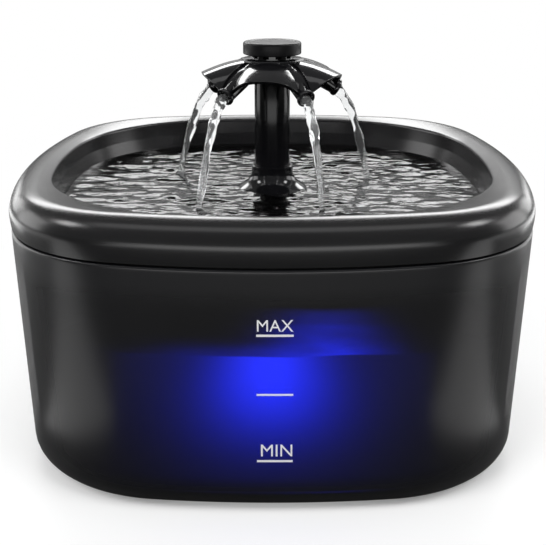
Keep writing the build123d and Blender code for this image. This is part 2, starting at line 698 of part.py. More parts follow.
def along(start, end, radius, stretch=0.0):
    """A cylinder between two (radius, height) points of the XZ plane."""
    run = (end[0] - start[0], 0, end[1] - start[1])
    length = sqrt(run[0] ** 2 + run[2] ** 2) + stretch
    plane = Plane(origin=(start[0], 0, start[1]), z_dir=run, x_dir=(0, 1, 0))
    return plane * Cylinder(radius, length, align=UPWARDS)


def nozzle_rim_start():
    """Where the nozzle's thick rim begins on its channel."""
    run_r = nozzle_mouth[0] - nozzle_elbow[0]
    run_z = nozzle_mouth[1] - nozzle_elbow[1]
    share = 1 - NOZZLE_RIM_LENGTH / sqrt(run_r**2 + run_z**2)
    return (nozzle_elbow[0] + run_r * share, nozzle_elbow[1] + run_z * share)


def channel(radius, rim_radius, stretch):
    """One arm's water channel: level part, ball at the bend, sloping part, rim."""
    start = (head_hub_radius / 2, chamber_floor + NOZZLE_BORE)
    solid = along(start, nozzle_elbow, radius)
    solid += Pos(nozzle_elbow[0], 0, nozzle_elbow[1]) * Sphere(radius)
    solid += along(nozzle_elbow, nozzle_mouth, radius, stretch)
    if rim_radius > radius:
        solid += along(nozzle_rim_start(), nozzle_mouth, rim_radius)
    return solid


def make_spout_head():
    """Umbrella of five arms and five vaulted webs, fed through a spigot in the riser."""
    head = column(head_hub_radius, head_hub_bottom, flange_top - FLANGE_THICKNESS)
    for index in range(ARM_COUNT):
        head += from_front(WEB_AZIMUTH + ARM_PITCH * (index + 0.5)) * arm_body()
    for index in range(ARM_COUNT):
        head += from_front(WEB_AZIMUTH + ARM_PITCH * index) * web()
    head += extrude(flange_face(flange_top - FLANGE_THICKNESS), FLANGE_THICKNESS)
    head += column(neck_radius, flange_top - FLANGE_THICKNESS / 2, cap_bottom)
    head += column(bore_seal_radius, head_spigot_bottom, head_hub_bottom + FLANGE_THICKNESS / 2)
    for index in range(ARM_COUNT):
        turn = from_front(WEB_AZIMUTH + ARM_PITCH * (index + 0.5))
        head += turn * channel(nozzle_radius, nozzle_radius + NOZZLE_RIM_STEP, 0)
    below_hub = (head_hub_bottom - nozzle_radius, head_hub_bottom - CUT_MARGIN)
    head -= pipe(riser_radius + GAP, bore_seal_radius, *below_hub)
    for index in range(ARM_COUNT):
        turn = from_front(WEB_AZIMUTH + ARM_PITCH * (index + 0.5))
        head -= turn * channel(NOZZLE_BORE, 0, CUT_MARGIN)
    feed = bore_seal_radius - HEAD_SPIGOT_WALL
    head -= column(feed, head_spigot_bottom - CUT_MARGIN, chamber_floor + CUT_MARGIN)
    head -= column(NECK_BORE, chamber_floor, cap_bottom + CUT_MARGIN)
    window = block(
        (NECK_BORE - CUT_MARGIN, neck_radius + CUT_MARGIN),
        (-NECK_WINDOW_WIDTH / 2, NECK_WINDOW_WIDTH / 2),
        (cap_bottom - NECK_WINDOW_HEIGHT, cap_bottom + CUT_MARGIN),
    )
    for index in range(NECK_WINDOWS):
        head -= Rot(0, 0, 360 * index / NECK_WINDOWS) * window
    return head


def make_cap():
    """Shallow crowned button on a hollow stem."""
    crown_radius = (CAP_RADIUS**2 + CAP_CROWN**2) / (2 * CAP_CROWN)
    crown = Pos(0, 0, cap_edge_top + CAP_CROWN - crown_radius) * Sphere(crown_radius)
    cap = column(CAP_RADIUS, cap_bottom, cap_edge_top + CAP_CROWN) & crown
    rim_edges = cap.edges().filter_by(GeomType.CIRCLE).group_by(Axis.Z)
    cap = fillet(rim_edges[0] + rim_edges[-1], CAP_EDGE_FILLET)
    cap += column(cap_stem_radius, cap_bottom - CAP_STEM_LENGTH, cap_bottom + CAP_EDGE_FILLET)
    cap -= column(cap_stem_radius - CAP_STEM_WALL, cap_bottom - CAP_STEM_LENGTH - CUT_MARGIN, cap_bottom)
    return cap - seal_ring(cap_seal_radius, cap_seal_height)


def make_cap_seal():
    """Ring in the cap stem's groove."""
    return seal_ring(cap_seal_radius, cap_seal_height)


# ---- pump housing and what it holds still
def make_pump_housing():
    """Moulded body: motor compartment open to the front, rotor well, volute, outlet spigot."""
    body = pump_block(0, (pump_front, housing_step))
    body += pump_block(skirt_inset, (housing_step - CUT_MARGIN, pump_rear))
    body += column(BOSS_RADIUS, pump_top - CUT_MARGIN, boss_top)
    body += column(spigot_radius, boss_top - CUT_MARGIN, spigot_top)
    gland_place = Pos(GLAND_X, GLAND_Y, 0)
    body += gland_place * column(GLAND_RADIUS + GLAND_SEAT, pump_top - CUT_MARGIN, boss_top)
    compartment = pump_block(PUMP_WALL, (pump_front - CUT_MARGIN, VOLUTE_FRONT - PUMP_WALL / 2))
    compartment -= rod_y(well_outer, well_end - WELL_WALL, VOLUTE_FRONT)
    body -= compartment
    body -= pump_block(PUMP_WALL / 2, (pump_front - CUT_MARGIN, window_back))
    body -= rod_y(well_bore, well_end, VOLUTE_FRONT + CUT_MARGIN)
    bush_seat = (well_end - WELL_WALL / 2, well_end + BUSH_LENGTH / 2)
    body += rod_y(bush_radius + NEST_GAP + WELL_WALL / 2, *bush_seat)
    body -= rod_y(bush_radius + RUNNING_FIT / 2, well_end, well_end + BUSH_LENGTH)
    body -= rod_y(volute_radius, VOLUTE_FRONT, pump_rear + CUT_MARGIN)
    body -= rod_y(volute_cover_radius + NEST_GAP, volute_cover_front, pump_rear + CUT_MARGIN)
    body -= column(spigot_bore, axis_height, spigot_top + CUT_MARGIN)
    body -= gland_place * column(GLAND_RADIUS + NEST_GAP, pump_top - GLAND_SEAT, boss_top + CUT_MARGIN)
    body -= gland_place * column(CORD_HOLE_RADIUS, pump_top - PUMP_WALL - CUT_MARGIN, pump_top)
    socket = column(CUP_STEM_RADIUS + NEST_GAP, pump_bottom - CUT_MARGIN, pump_bottom + CUP_STEM_LENGTH)
    for x, y in cup_places():
        body -= Pos(x, y, 0) * socket
    return body - seal_ring(bore_seal_radius, outlet_seal_height)


def cup_places():
    """Centres of the four suction cups."""
    return [(PUMP_X + side * CUP_SPREAD, y) for side in (-1, 1) for y in (CUP_FRONT, CUP_REAR)]


def make_suction_cups():
    """Flared rubber cups with stems that push into the pump's underside."""
    stem_top = pump_bottom + CUP_STEM_LENGTH - NEST_GAP
    cup = spun(
        [
            (0, tank_floor_top + CUP_HOLLOW),
            (CUP_RADIUS - CUP_LIP, tank_floor_top),
            (CUP_RADIUS, tank_floor_top),
            (CUP_WAIST, tank_floor_top + CUP_HEIGHT / 2),
            (CUP_WAIST + CUP_LIP, pump_bottom),
            (CUP_STEM_RADIUS, pump_bottom),
            (CUP_STEM_RADIUS, stem_top),
            (0, stem_top),
        ]
    )
    return group(Pos(x, y, 0) * cup for x, y in cup_places())


def make_outlet_seal():
    """Ring between the pump's spigot and the riser."""
    return seal_ring(bore_seal_radius, outlet_seal_height)


def make_cable_gland():
    """Rubber gland on the pump's top with the hole for a cord."""
    bottom = pump_top - GLAND_SEAT
    gland = column(GLAND_RADIUS, bottom, boss_top)
    cone_height = GLAND_HEIGHT - (boss_top - bottom)
    gland += Pos(0, 0, boss_top) * Cone(GLAND_RADIUS, GLAND_TOP_RADIUS, cone_height, align=UPWARDS)
    gland -= column(CORD_HOLE_RADIUS, bottom - CUT_MARGIN, bottom + GLAND_HEIGHT + CUT_MARGIN)
    return Pos(GLAND_X, GLAND_Y, 0) * gland


def make_volute_cover():
    """Round cover of the impeller chamber, with the water eye and the rear bush's hub."""
    front = volute_cover_front
    beyond = (front - CUT_MARGIN, pump_rear + CUT_MARGIN)
    cover = rod_y(volute_cover_radius, front, pump_rear) - rod_y(EYE_RADIUS, *beyond)
    cover += rod_y(bush_radius + EYE_HUB_WALL, front, pump_rear)
    width = (axis_height - EYE_SPOKE_WIDTH / 2, axis_height + EYE_SPOKE_WIDTH / 2)
    arm = block((PUMP_X, PUMP_X + EYE_RADIUS + CUT_MARGIN), (front, pump_rear), width)
    for index in range(EYE_SPOKES):
        cover += arm.rotate(rotor_axis, 90 + 360 * index / EYE_SPOKES)
    return cover - rod_y(bush_radius + RUNNING_FIT / 2, *beyond)


def make_shaft():
    """Ceramic pin between the two rubber bushes."""
    return rod_y(SHAFT_RADIUS, well_end + BUSH_CLOSED_END, pump_rear - BUSH_CLOSED_END)


def make_bushes():
    """Rubber cups that hold the pin's ends."""
    front = rod_y(bush_radius, well_end, well_end + BUSH_LENGTH)
    rear = rod_y(bush_radius, pump_rear - BUSH_LENGTH, pump_rear)
    pin = make_shaft()
    return group([front - pin, rear - pin])


def make_stator_core():
    """Stacked steel yoke: two legs with hollow pole faces and a bar above the well."""
    span = (core_front, core_rear)
    beyond = (core_front - CUT_MARGIN, core_rear + CUT_MARGIN)
    outside = PUMP_X - core_leg_outer
    leg_height = (axis_height - CORE_LEG_DROP, axis_height + well_outer)
    left = block((outside, outside + CORE_POLE_WIDTH), span, leg_height)
    right = left.mirror(Plane.YZ.offset(PUMP_X))
    poles = left + right - rod_y(well_outer + NEST_GAP, *beyond)
    outer = block((PUMP_X - core_leg_outer, PUMP_X + core_leg_outer), span, (axis_height, bar_top))
    inner = (PUMP_X - core_inner_half, PUMP_X + core_inner_half)
    window = block(inner, beyond, (axis_height - CUT_MARGIN, bar_bottom))
    return poles + (outer - window)


def coil_box(grow, half_length):
    """A box round the core's bar, larger by a thickness."""
    return block(
        (PUMP_X - half_length, PUMP_X + half_length),
        (core_front - grow, core_rear + grow),
        (bar_bottom - grow, bar_top + grow),
    )


def make_coil_bobbin():
    """Plastic former with two flanges."""
    sleeve = coil_box(NEST_GAP + BOBBIN_WALL, bobbin_half_length)
    flanges = coil_box(coil_grow, bobbin_half_length)
    flanges -= coil_box(coil_grow + CUT_MARGIN, bobbin_half_length - BOBBIN_WALL)
    return sleeve + flanges - coil_box(NEST_GAP, bobbin_half_length + CUT_MARGIN)


def make_coil_winding():
    """Copper winding between the bobbin's flanges."""
    half = bobbin_half_length - BOBBIN_WALL
    winding = coil_box(coil_grow - WINDING_SLACK, half)
    winding = fillet(winding.edges().filter_by(Axis.X), WINDING_DEPTH / 2)
    return winding - coil_box(NEST_GAP + BOBBIN_WALL, half + CUT_MARGIN)


def make_potting_plate():
    """Resin plate that closes the motor compartment."""
    return pump_block(PUMP_WALL + NEST_GAP, (potting_front, potting_front + POTTING_THICKNESS))


def make_led_board():
    """Circuit board on the resin plate."""
    return pump_block(PUMP_WALL + 2 * NEST_GAP, (board_front, potting_front))


def make_leds():
    """Row of light emitters on the board, looking forwards."""
    width, depth, height = LED_SIZE
    bottom = axis_height + LED_RISE - height / 2
    chip = block((-width / 2, width / 2), (board_front - depth, board_front), (bottom, bottom + height))
    start = PUMP_X - (LED_COUNT - 1) / 2 * LED_PITCH
    return group(Pos(start + index * LED_PITCH, 0, 0) * chip for index in range(LED_COUNT))


def make_led_window():
    """Clear front plate of the pump."""
    return pump_block(PUMP_WALL / 2 + NEST_GAP, (pump_front, window_back))


# ---- pump rotor
def make_impeller():
    """Curved-blade impeller on the stem that carries the magnet."""
    rotor = rod_y(IMPELLER_RADIUS, disc_front, disc_rear)
    rotor += rod_y(rotor_stem_radius, magnet_front, disc_rear + BLADE_HEIGHT / 2)
    inner = BLADE_SWEEP_RADIUS - BLADE_THICKNESS / 2
    outer = BLADE_SWEEP_RADIUS + BLADE_THICKNESS / 2
    ring = Pos(BLADE_SWEEP_RADIUS, 0) * (Circle(outer) - Circle(inner))
    one_side = Pos(0, IMPELLER_RADIUS) * Rectangle(2 * IMPELLER_RADIUS, 2 * IMPELLER_RADIUS)
    blade_face = ring & Circle(IMPELLER_RADIUS) & one_side
    blade_face -= Circle(rotor_stem_radius - CUT_MARGIN)
    blade_root = disc_rear - IMPELLER_DISC / 2
    blade = extrude(blade_face, disc_rear + BLADE_HEIGHT - blade_root)
    blade = Pos(PUMP_X, blade_root, axis_height) * Rot(-90, 0, 0) * blade
    for index in range(BLADE_COUNT):
        rotor += blade.rotate(rotor_axis, 360 * index / BLADE_COUNT)
    return rotor - rod_y(SHAFT_RADIUS + RUNNING_FIT, magnet_front - CUT_MARGIN, pump_rear)


def make_rotor_magnet():
    """Magnet sleeve on the impeller's stem."""
    sleeve = rod_y(magnet_radius, magnet_front, magnet_rear)
    return sleeve - rod_y(rotor_stem_radius + PRESS_GAP, magnet_front - CUT_MARGIN, magnet_rear + CUT_MARGIN)


# ---- intake cover, sponge and flow slide
def intake_slots(y_range):
    """Upright slots, evenly spaced about the pump's middle."""
    half_width = INTAKE_SLOT_WIDTH / 2
    half_height = INTAKE_SLOT_HEIGHT / 2
    height = (pump_middle_height - half_height, pump_middle_height + half_height)
    cutter = block((-half_width, half_width), y_range, height)
    start = PUMP_X - (INTAKE_SLOTS - 1) / 2 * INTAKE_SLOT_PITCH
    return [Pos(start + index * INTAKE_SLOT_PITCH, 0, 0) * cutter for index in range(INTAKE_SLOTS)]


def make_intake_cover():
    """Box that slides over the housing's rear, with intake slots and rails for the slide."""
    cover = pump_block(0, (housing_step + NEST_GAP, intake_rear))
    cover -= pump_block(SKIRT_WALL, (housing_step - CUT_MARGIN, intake_rear - SKIRT_WALL))
    for cutter in intake_slots((intake_rear - 2 * SKIRT_WALL, intake_rear + CUT_MARGIN)):
        cover -= cutter
    cover -= column(BOSS_RADIUS + GAP, pump_top - 2 * SKIRT_WALL, boss_top)
    half = slide_length / 2 + slide_travel
    length = (PUMP_X - half, PUMP_X + half)
    edge = slide_height / 2 + GAP
    rail = block(length, (intake_rear - CUT_MARGIN, rail_rear), (edge, edge + RAIL_HEIGHT))
    rail += block(length, (slide_rear + GAP, rail_rear), (edge - RAIL_LIP - GAP, edge + RAIL_HEIGHT))
    middle = Pos(0, 0, pump_middle_height)
    return cover + middle * rail + middle * rail.mirror(Plane.XY)


def make_prefilter_sponge():
    """Foam block behind the intake slots."""
    return pump_block(skirt_inset, (pump_rear + 2 * GAP, intake_rear - SKIRT_WALL - GAP))


def make_flow_slide():
    """Slotted plate that narrows the intake when it is pushed along its rails."""
    half = slide_length / 2
    low = pump_middle_height - slide_height / 2
    high = pump_middle_height + slide_height / 2
    plate = block((PUMP_X - half, PUMP_X + half), (slide_front, slide_rear), (low, high))
    for cutter in intake_slots((slide_front - CUT_MARGIN, slide_rear + CUT_MARGIN)):
        plate -= cutter
    width = (PUMP_X - KNOB_WIDTH / 2, PUMP_X + KNOB_WIDTH / 2)
    depth = (slide_rear - KNOB_ROOT, slide_rear + KNOB_LENGTH)
    return plate + block(width, depth, (low + KNOB_MARGIN, high - KNOB_MARGIN))


# ---- every piece, by the name of its node
PIECES = {
    "tank": make_tank,
    "tank_feet": make_feet,
    "cord_notch_grommet": make_grommet,
    "top_tray": make_tray,
    "filter_cover": make_filter_cover,
    "filter_frame": make_filter_frame,
    "filter_pouch": make_filter_pouch,
    "riser_tube": make_riser,
    "spout_head": make_spout_head,
    "spout_cap": make_cap,
    "cap_seal": make_cap_seal,
    "pump_housing": make_pump_housing,
    "suction_cups": make_suction_cups,
    "outlet_seal": make_outlet_seal,
    "cable_gland": make_cable_gland,
    "volute_cover": make_volute_cover,
    "rotor_shaft": make_shaft,
    "shaft_bushes": make_bushes,
    "stator_core": make_stator_core,
    "coil_bobbin": make_coil_bobbin,
    "coil_winding": make_coil_winding,
    "potting_plate": make_potting_plate,
    "led_board": make_led_board,
    "leds": make_leds,
    "led_window": make_led_window,
    "impeller": make_impeller,
    "rotor_magnet": make_rotor_magnet,
    "intake_cover": make_intake_cover,
    "prefilter_sponge": make_prefilter_sponge,
    "flow_slide": make_flow_slide,
}

for node, make in PIECES.items():
    export_step(make(), f"parts/{node}.step")
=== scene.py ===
# %% [markdown]
# # A pet water fountain
# The fountain is a smoky water tank with a black drinking tray on top. A pump in the tank pushes
# water up a column into a five-armed head, and thin streams fall back into the bowl.
# The measured solids are loaded first. They fix every size and place, and whatever is modelled
# here is fitted to them. Blender works in metres, so sizes in millimetres are multiplied by MM.

# %% Load the solids
from math import atan2, cos, exp, hypot, pi, radians, sin, sqrt

import bmesh
import bpy
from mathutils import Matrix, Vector, noise


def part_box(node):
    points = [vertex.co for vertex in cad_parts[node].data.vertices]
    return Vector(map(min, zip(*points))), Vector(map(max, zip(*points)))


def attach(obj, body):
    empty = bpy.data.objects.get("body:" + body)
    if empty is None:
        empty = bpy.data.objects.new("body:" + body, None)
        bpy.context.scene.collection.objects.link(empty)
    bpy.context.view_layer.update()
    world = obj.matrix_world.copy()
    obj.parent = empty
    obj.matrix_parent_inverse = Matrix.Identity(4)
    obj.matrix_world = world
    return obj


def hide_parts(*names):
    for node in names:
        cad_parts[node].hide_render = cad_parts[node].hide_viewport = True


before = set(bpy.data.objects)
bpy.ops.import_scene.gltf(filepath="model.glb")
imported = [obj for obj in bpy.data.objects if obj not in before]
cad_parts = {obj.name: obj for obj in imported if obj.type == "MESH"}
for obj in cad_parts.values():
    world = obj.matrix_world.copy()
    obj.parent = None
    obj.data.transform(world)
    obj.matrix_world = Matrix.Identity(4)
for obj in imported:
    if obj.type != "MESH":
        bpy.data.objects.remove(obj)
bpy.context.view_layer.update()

MM = 0.001


def deselect():
    """Operators act on all that is selected, so each step starts with nothing selected."""
    if bpy.context.object and bpy.context.object.mode != "OBJECT":
        bpy.ops.object.mode_set(mode="OBJECT")
    bpy.ops.object.select_all(action="DESELECT")


# %% [markdown]
# ## The camera
# The camera looks down from a little above, so that the bowl and the front both show. Its lens is
# worked out from a focal length in pixels, because that is what fitting a view gives.

# %% Camera
IMAGE_WIDTH = 546
FOCAL_PIXELS = 1007.9
SHIFT_PIXELS = 0.8
SENSOR = 36
LOOK_DOWN = 19.23  # degrees below the horizon
CAMERA_PLACE = (0, -0.4007, 0.1962)
deselect()
bpy.ops.object.camera_add(location=CAMERA_PLACE, rotation=(radians(90 - LOOK_DOWN), 0, 0))
camera = bpy.context.object
camera.name = "camera"
camera.data.sensor_width = SENSOR
camera.data.lens = SENSOR * FOCAL_PIXELS / IMAGE_WIDTH
camera.data.shift_x = SHIFT_PIXELS / IMAGE_WIDTH
camera.data.clip_start = 0.01
bpy.context.scene.camera = camera
bpy.context.scene.view_settings.view_transform = "Standard"
print("lens", round(camera.data.lens, 2))

# %% [markdown]
# ## Writing shader maths as formulas
# A finish is a tree of nodes. Wiring every Math node by hand hides what the tree does, so one
# small class wraps a socket and lets Python's own operators add the nodes. Every other node comes
# from one method that takes its type, its settings and what goes into its sockets.

# %% A socket that can be used in formulas
class Wire:
    """An output socket that adds Math nodes when it is used in a formula."""

    def __init__(self, finish, socket):
        self.finish = finish
        self.socket = socket

    def maths(self, operation, first, second=0.0):
        return self.finish.node("Math", {"operation": operation}, {0: first, 1: second})

    def __add__(self, other):
        return self.maths("ADD", self, other)

    def __radd__(self, other):
        return self.maths("ADD", other, self)

    def __sub__(self, other):
        return self.maths("SUBTRACT", self, other)

    def __rsub__(self, other):
        return self.maths("SUBTRACT", other, self)

    def __mul__(self, other):
        return self.maths("MULTIPLY", self, other)

    def __rmul__(self, other):
        return self.maths("MULTIPLY", other, self)

    def __truediv__(self, other):
        return self.maths("DIVIDE", self, other)

    def __rtruediv__(self, other):
        return self.maths("DIVIDE", other, self)

    def __neg__(self):
        return self.maths("MULTIPLY", self, -1.0)

    def clipped(self):
        return self.finish.node("Clamp", {}, {"Value": self})

    def falloff(self):
        """A bell curve: one where the value is nought, and fading as it grows."""
        return self.maths("EXPONENT", -(self * self))


# %% A finish and its one method for nodes
class Finish:
    """A node tree under construction, for a new material or a new world."""

    def __init__(self, name, kind="materials"):
        self.owner = getattr(bpy.data, kind).new(name)
        self.owner.use_nodes = True
        self.tree = self.owner.node_tree
        self.tree.nodes.clear()

    def node(self, kind, settings, inputs, output=0):
        made = self.tree.nodes.new("ShaderNode" + kind)
        for name, value in settings.items():
            setattr(made, name, value)
        for name, value in inputs.items():
            self.feed(made.inputs[name], value)
        return Wire(self, made.outputs[output])

    def feed(self, socket, value):
        if isinstance(value, Wire):
            self.tree.links.new(value.socket, socket)
        elif isinstance(value, tuple) and len(value) == 3 and socket.type == "RGBA":
            socket.default_value = (*value, 1)
        else:
            socket.default_value = value

    def spot(self):
        """Object coordinates: where a point lies on the piece, in metres."""
        return self.node("TexCoord", {}, {}, "Object")

    def axis(self, letter):
        return self.node("SeparateXYZ", {}, {0: self.spot()}, letter)

    def place(self, scale=(1, 1, 1)):
        """Object coordinates, stretched."""
        return self.node("Mapping", {}, {"Vector": self.spot(), "Scale": scale})

    def grain(self, size, detail=3.0, scale=(1, 1, 1)):
        """Noise with spots of about the given size in metres."""
        sockets = {"Vector": self.place(scale), "Scale": 1 / size, "Detail": detail}
        return self.node("TexNoise", {}, sockets, "Fac")

    def blend(self, share, low, high):
        """A colour between two, by a share from nought to one."""
        return self.node("Mix", {"data_type": "RGBA"}, {0: share, 6: low, 7: high}, 2)

    def raised(self, height, depth):
        """A bumped normal. The depth is in metres."""
        return self.node("Bump", {}, {"Height": height, "Distance": depth})

    def done(self, shader, kind="OutputMaterial"):
        output = self.tree.nodes.new("ShaderNode" + kind)
        self.tree.links.new(shader.socket, output.inputs["Surface"])
        return self.owner

    def principled(self, sockets):
        """Ends the tree in the one shader that suits most materials."""
        return self.done(self.node("BsdfPrincipled", {}, sockets))


def surface(name, low, high, rough, grain, bump, fixed=None):
    """A moulded, cast or cut surface: two near colours, two gloss levels and a fine texture."""
    finish = Finish(name)
    share = finish.grain(grain)
    return finish.principled({
        "Base Color": finish.blend(share, low, high),
        "Roughness": share * (rough[1] - rough[0]) + rough[0],
        "Normal": finish.raised(finish.grain(bump[0], 2.0), bump[1]),
        **(fixed or {}),
    })


print("formula classes ready")

# %% [markdown]
# ## Floor, background and lamps
# A black glossy object shows its lamps more than its own colour. So the stage has three large
# soft lamps that mirrors don't see, and white cards that only mirrors see. The cards draw the long
# highlights along the rolled rim, the column and the tank's corners, as a studio's boards do.
# The floor is white to the eye, but dimmer in the mirror of the plastic, which keeps it black.

# %% Background light
WHITE = (1, 1, 1)
SKY_LEVEL = 0.45
MIRROR_LEVEL = 0.22


def camera_share(finish):
    """One for what the eye or a clear piece sees directly, nought for other light."""
    path = finish.node("LightPath", {}, {}, "Is Camera Ray")
    clear = finish.node("LightPath", {}, {}, "Is Transmission Ray")
    return (path + clear).clipped()


sky = Finish("studio", "worlds")
seen = camera_share(sky)
mirrored = sky.node("LightPath", {}, {}, "Is Glossy Ray")
unseen_level = mirrored * (MIRROR_LEVEL - SKY_LEVEL) + SKY_LEVEL
sky_light = {"Color": WHITE, "Strength": seen + (1 - seen) * unseen_level}
bpy.context.scene.world = sky.done(sky.node("Background", {}, sky_light), "OutputWorld")
print("background light", SKY_LEVEL)

# %% Floor
FLOOR_SIZE = 14
FLOOR_MIRRORED = (0.08, 0.08, 0.08)
FLOOR_SEEN = (0.92, 0.92, 0.92)
SHADOW_START, SHADOW_END = 0.10, 0.27  # between these distances the floor fades to plain white
CONTACT_SHADE = 0.45
bpy.ops.mesh.primitive_plane_add(size=FLOOR_SIZE)
floor = bpy.context.object
floor.name = "floor"
paper = Finish("floor_paper")
eye = camera_share(paper)
paper_colour = paper.blend(eye, FLOOR_MIRRORED, FLOOR_SEEN)
lit = paper.node("BsdfPrincipled", {}, {"Base Color": paper_colour, "Roughness": 0.5})
bright = paper.node("Emission", {}, {"Color": WHITE, "Strength": 1.0})
away = paper.node("VectorMath", {"operation": "LENGTH"}, {0: paper.spot()}, "Value")
# Near the object less plain white is mixed in, so the lamps' real shadow shows more and the floor is
# darkened there by place: partly real shadow, partly painted shade.
opening = {0: away, 1: SHADOW_START, 2: SHADOW_END, 3: 0.66, 4: 1.0}
open_floor = paper.node("MapRange", {"interpolation_type": "SMOOTHSTEP"}, opening)
# painted contact shade: right beside the base still less white is mixed in, which deepens the real shadow
painted_contact_shade = ((away - 0.1) * 45).falloff() * CONTACT_SHADE
floor_mix = {0: eye * (open_floor - painted_contact_shade), 1: lit, 2: bright}
floor.data.materials.append(paper.done(paper.node("MixShader", {}, floor_mix)))
print("floor", FLOOR_SIZE, "metres")

# %% Lamps and cards
LAMP_TARGET = (0, 0, 0.08)
CARD_TARGET = (0, 0, 0.1)


def aim(thing, target):
    thing.rotation_euler = (Vector(target) - thing.location).to_track_quat("-Z", "Y").to_euler()


def lamp(name, place, size, power):
    bpy.ops.object.light_add(type="AREA", location=place)
    made = bpy.context.object
    made.name = name
    made.data.shape = "RECTANGLE"
    made.data.size, made.data.size_y = size
    made.data.energy = power
    aim(made, LAMP_TARGET)
    made.visible_glossy = False


def card(name, place, size, level, turn=None):
    """A white board that only mirrors see. With a turn in degrees it lies flat."""
    bpy.ops.mesh.primitive_plane_add(size=1, location=place)
    made = bpy.context.object
    made.name = name
    made.scale = (*size, 1)
    if turn is None:
        aim(made, CARD_TARGET)
    else:
        made.rotation_euler.z = radians(turn)
    white = Finish(name)
    shining = white.node("Emission", {}, {"Color": WHITE, "Strength": level})
    made.data.materials.append(white.done(shining))
    for sight in ("camera", "diffuse", "transmission", "volume_scatter", "shadow"):
        setattr(made, "visible_" + sight, False)


lamp("lamp_left", (-1.0, -0.9, 1.3), (1.0, 1.0), 20)
lamp("lamp_right", (1.0, -0.7, 1.4), (1.0, 1.0), 16)
lamp("lamp_back", (0.0, 1.2, 1.2), (1.4, 0.8), 6)
card("card_back", (0, 0.85, 0.64), (1.3, 0.28), 8.5)
card("card_top", (0, -0.12, 0.9), (1.0, 0.26), 1.5)
card("card_far", (0, 0.98, 0.40), (1.5, 0.32), 0.7)
card("card_front", (0, -0.75, 0.085), (0.9, 0.17), 2.8)
card("card_apron", (0, -0.62, 0.003), (0.9, 0.26), 2.0, turn=0)
for side, name in ((-1, "left"), (1, "right")):
    card("card_" + name, (0.62 * side, 0.12, 0.22), (0.34, 0.34), 3.0)
    card("card_corner_" + name, (0.84 * side, 0.95, 0.30), (0.6, 0.44), 3.2)
    card("card_spot_" + name, (0.74 * side, -0.09, 0.76), (0.22, 0.22), 12)
    card("card_floor_" + name, (0.275 * side, -0.145, 0.004), (0.36, 0.085), 1.4, turn=-16.7 * side)
    card("card_side_" + name, (0.46 * side, 0.28, 0.003), (0.30, 0.40), 3.2, turn=0)
    card("card_wide_" + name, (0.56 * side, -0.02, 0.003), (0.42, 0.30), 1.0, turn=0)
print("lamps and cards placed")

# %% [markdown]
# ## The plan of the fountain
# Seen from above the tank and the tray are squares with bowed sides and round corners: four long
# arcs joined by four short ones. A plan is a function from a direction to the distance at which
# the outline lies. With that, any section can be drawn by pushing a ring of points outwards or
# inwards. Each plan below has a half width, the radius of its sides and that of its corners, and
# they are the ones that the solids were made from.

# %% Plans
ROLL = (100.0, 246.0, 54.8)
CREST = (89.45, 265.0, 40.0)
LIP = (84.7, 220.0, 61.5)
TANK_TOP = tuple(size - 0.3 for size in ROLL)
TANK_BASE = (95.6, 381.0, 56.3)


def rounded_plan(half, side, corner):
    """The outline's distance in a direction, for a half width and the radii of its arcs."""
    back = half - side
    middle = (back + sqrt(2 * (side - corner) ** 2 - back**2)) / 2
    to_corner = Vector((middle - back, middle)).normalized()
    join = atan2(side * to_corner.y, back + side * to_corner.x)

    def reach(turn):
        folded = abs((turn + pi / 4) % (pi / 2) - pi / 4)
        if folded < join:
            return (back * cos(folded) + sqrt(side**2 - (back * sin(folded)) ** 2)) * MM
        across = middle * (cos(folded) + sin(folded))
        return (across + sqrt(across**2 - 2 * middle**2 + corner**2)) * MM

    return reach


def inset(sizes, amount):
    return rounded_plan(*(size - amount for size in sizes))


def insets(sizes, points):
    """Rings of one plan, from amounts moved inwards and heights."""
    return [(inset(sizes, amount), height) for amount, height in points]


def round_plan(radius):
    return lambda turn: radius * MM


def rounds(points):
    """Round rings, from radii and heights."""
    return [(round_plan(radius), height) for radius, height in points]


def between(low, high, share):
    return lambda turn: low(turn) * (1 - share) + high(turn) * share


def quarter(steps):
    """The cosine and sine at each step of a quarter turn, for round edges."""
    turns = [pi / 2 * step / steps for step in range(steps + 1)]
    return [(cos(turn), sin(turn)) for turn in turns]


print("tray half width", rounded_plan(*ROLL)(0))

# %% Working on one piece
def pick(piece):
    """Makes a piece the only one that operators act on."""
    deselect()
    piece.select_set(True)
    bpy.context.view_layer.objects.active = piece


def edit_all():
    bpy.ops.object.mode_set(mode="EDIT")
    bpy.ops.mesh.select_all(action="SELECT")


def end_edit():
    """Turns every face outwards and leaves edit mode."""
    bpy.ops.mesh.select_all(action="SELECT")
    bpy.ops.mesh.normals_make_consistent(inside=False)
    bpy.ops.object.mode_set(mode="OBJECT")


def finish_with(piece, kind, settings):
    """Adds one modifier and applies it."""
    pick(piece)
    change = piece.modifiers.new(kind.lower(), kind)
    for name, value in settings.items():
        setattr(change, name, value)
    bpy.ops.object.modifier_apply(modifier=change.name)


def soften(piece, width, segments, angle):
    """Rounds every edge that is sharper than an angle, by a width in millimetres."""
    limit = {"limit_method": "ANGLE", "angle_limit": radians(angle)}
    finish_with(piece, "BEVEL", {"width": width * MM, "segments": segments, **limit})


def smooth(piece, angle=35):
    pick(piece)
    bpy.ops.object.shade_smooth_by_angle(angle=radians(angle))


def dress(piece, material, body):
    """Gives a finished piece its material and the body it moves with."""
    piece.data.materials.clear()
    piece.data.materials.append(material)
    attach(piece, body)
    print(piece.name, len(piece.data.polygons), "faces")


# %% Rings that grow into walls
MERGE = 0.000002


def place_ring(piece, plan, height):
    """Moves the selected points onto a plan at a height, each in its own direction."""
    mesh = bmesh.from_edit_mesh(piece.data)
    for point in mesh.verts:
        if point.select:
            turn = atan2(point.co.y, point.co.x)
            reach = plan(turn)
            point.co = (reach * cos(turn), reach * sin(turn), height * MM)
    bmesh.update_edit_mesh(piece.data)


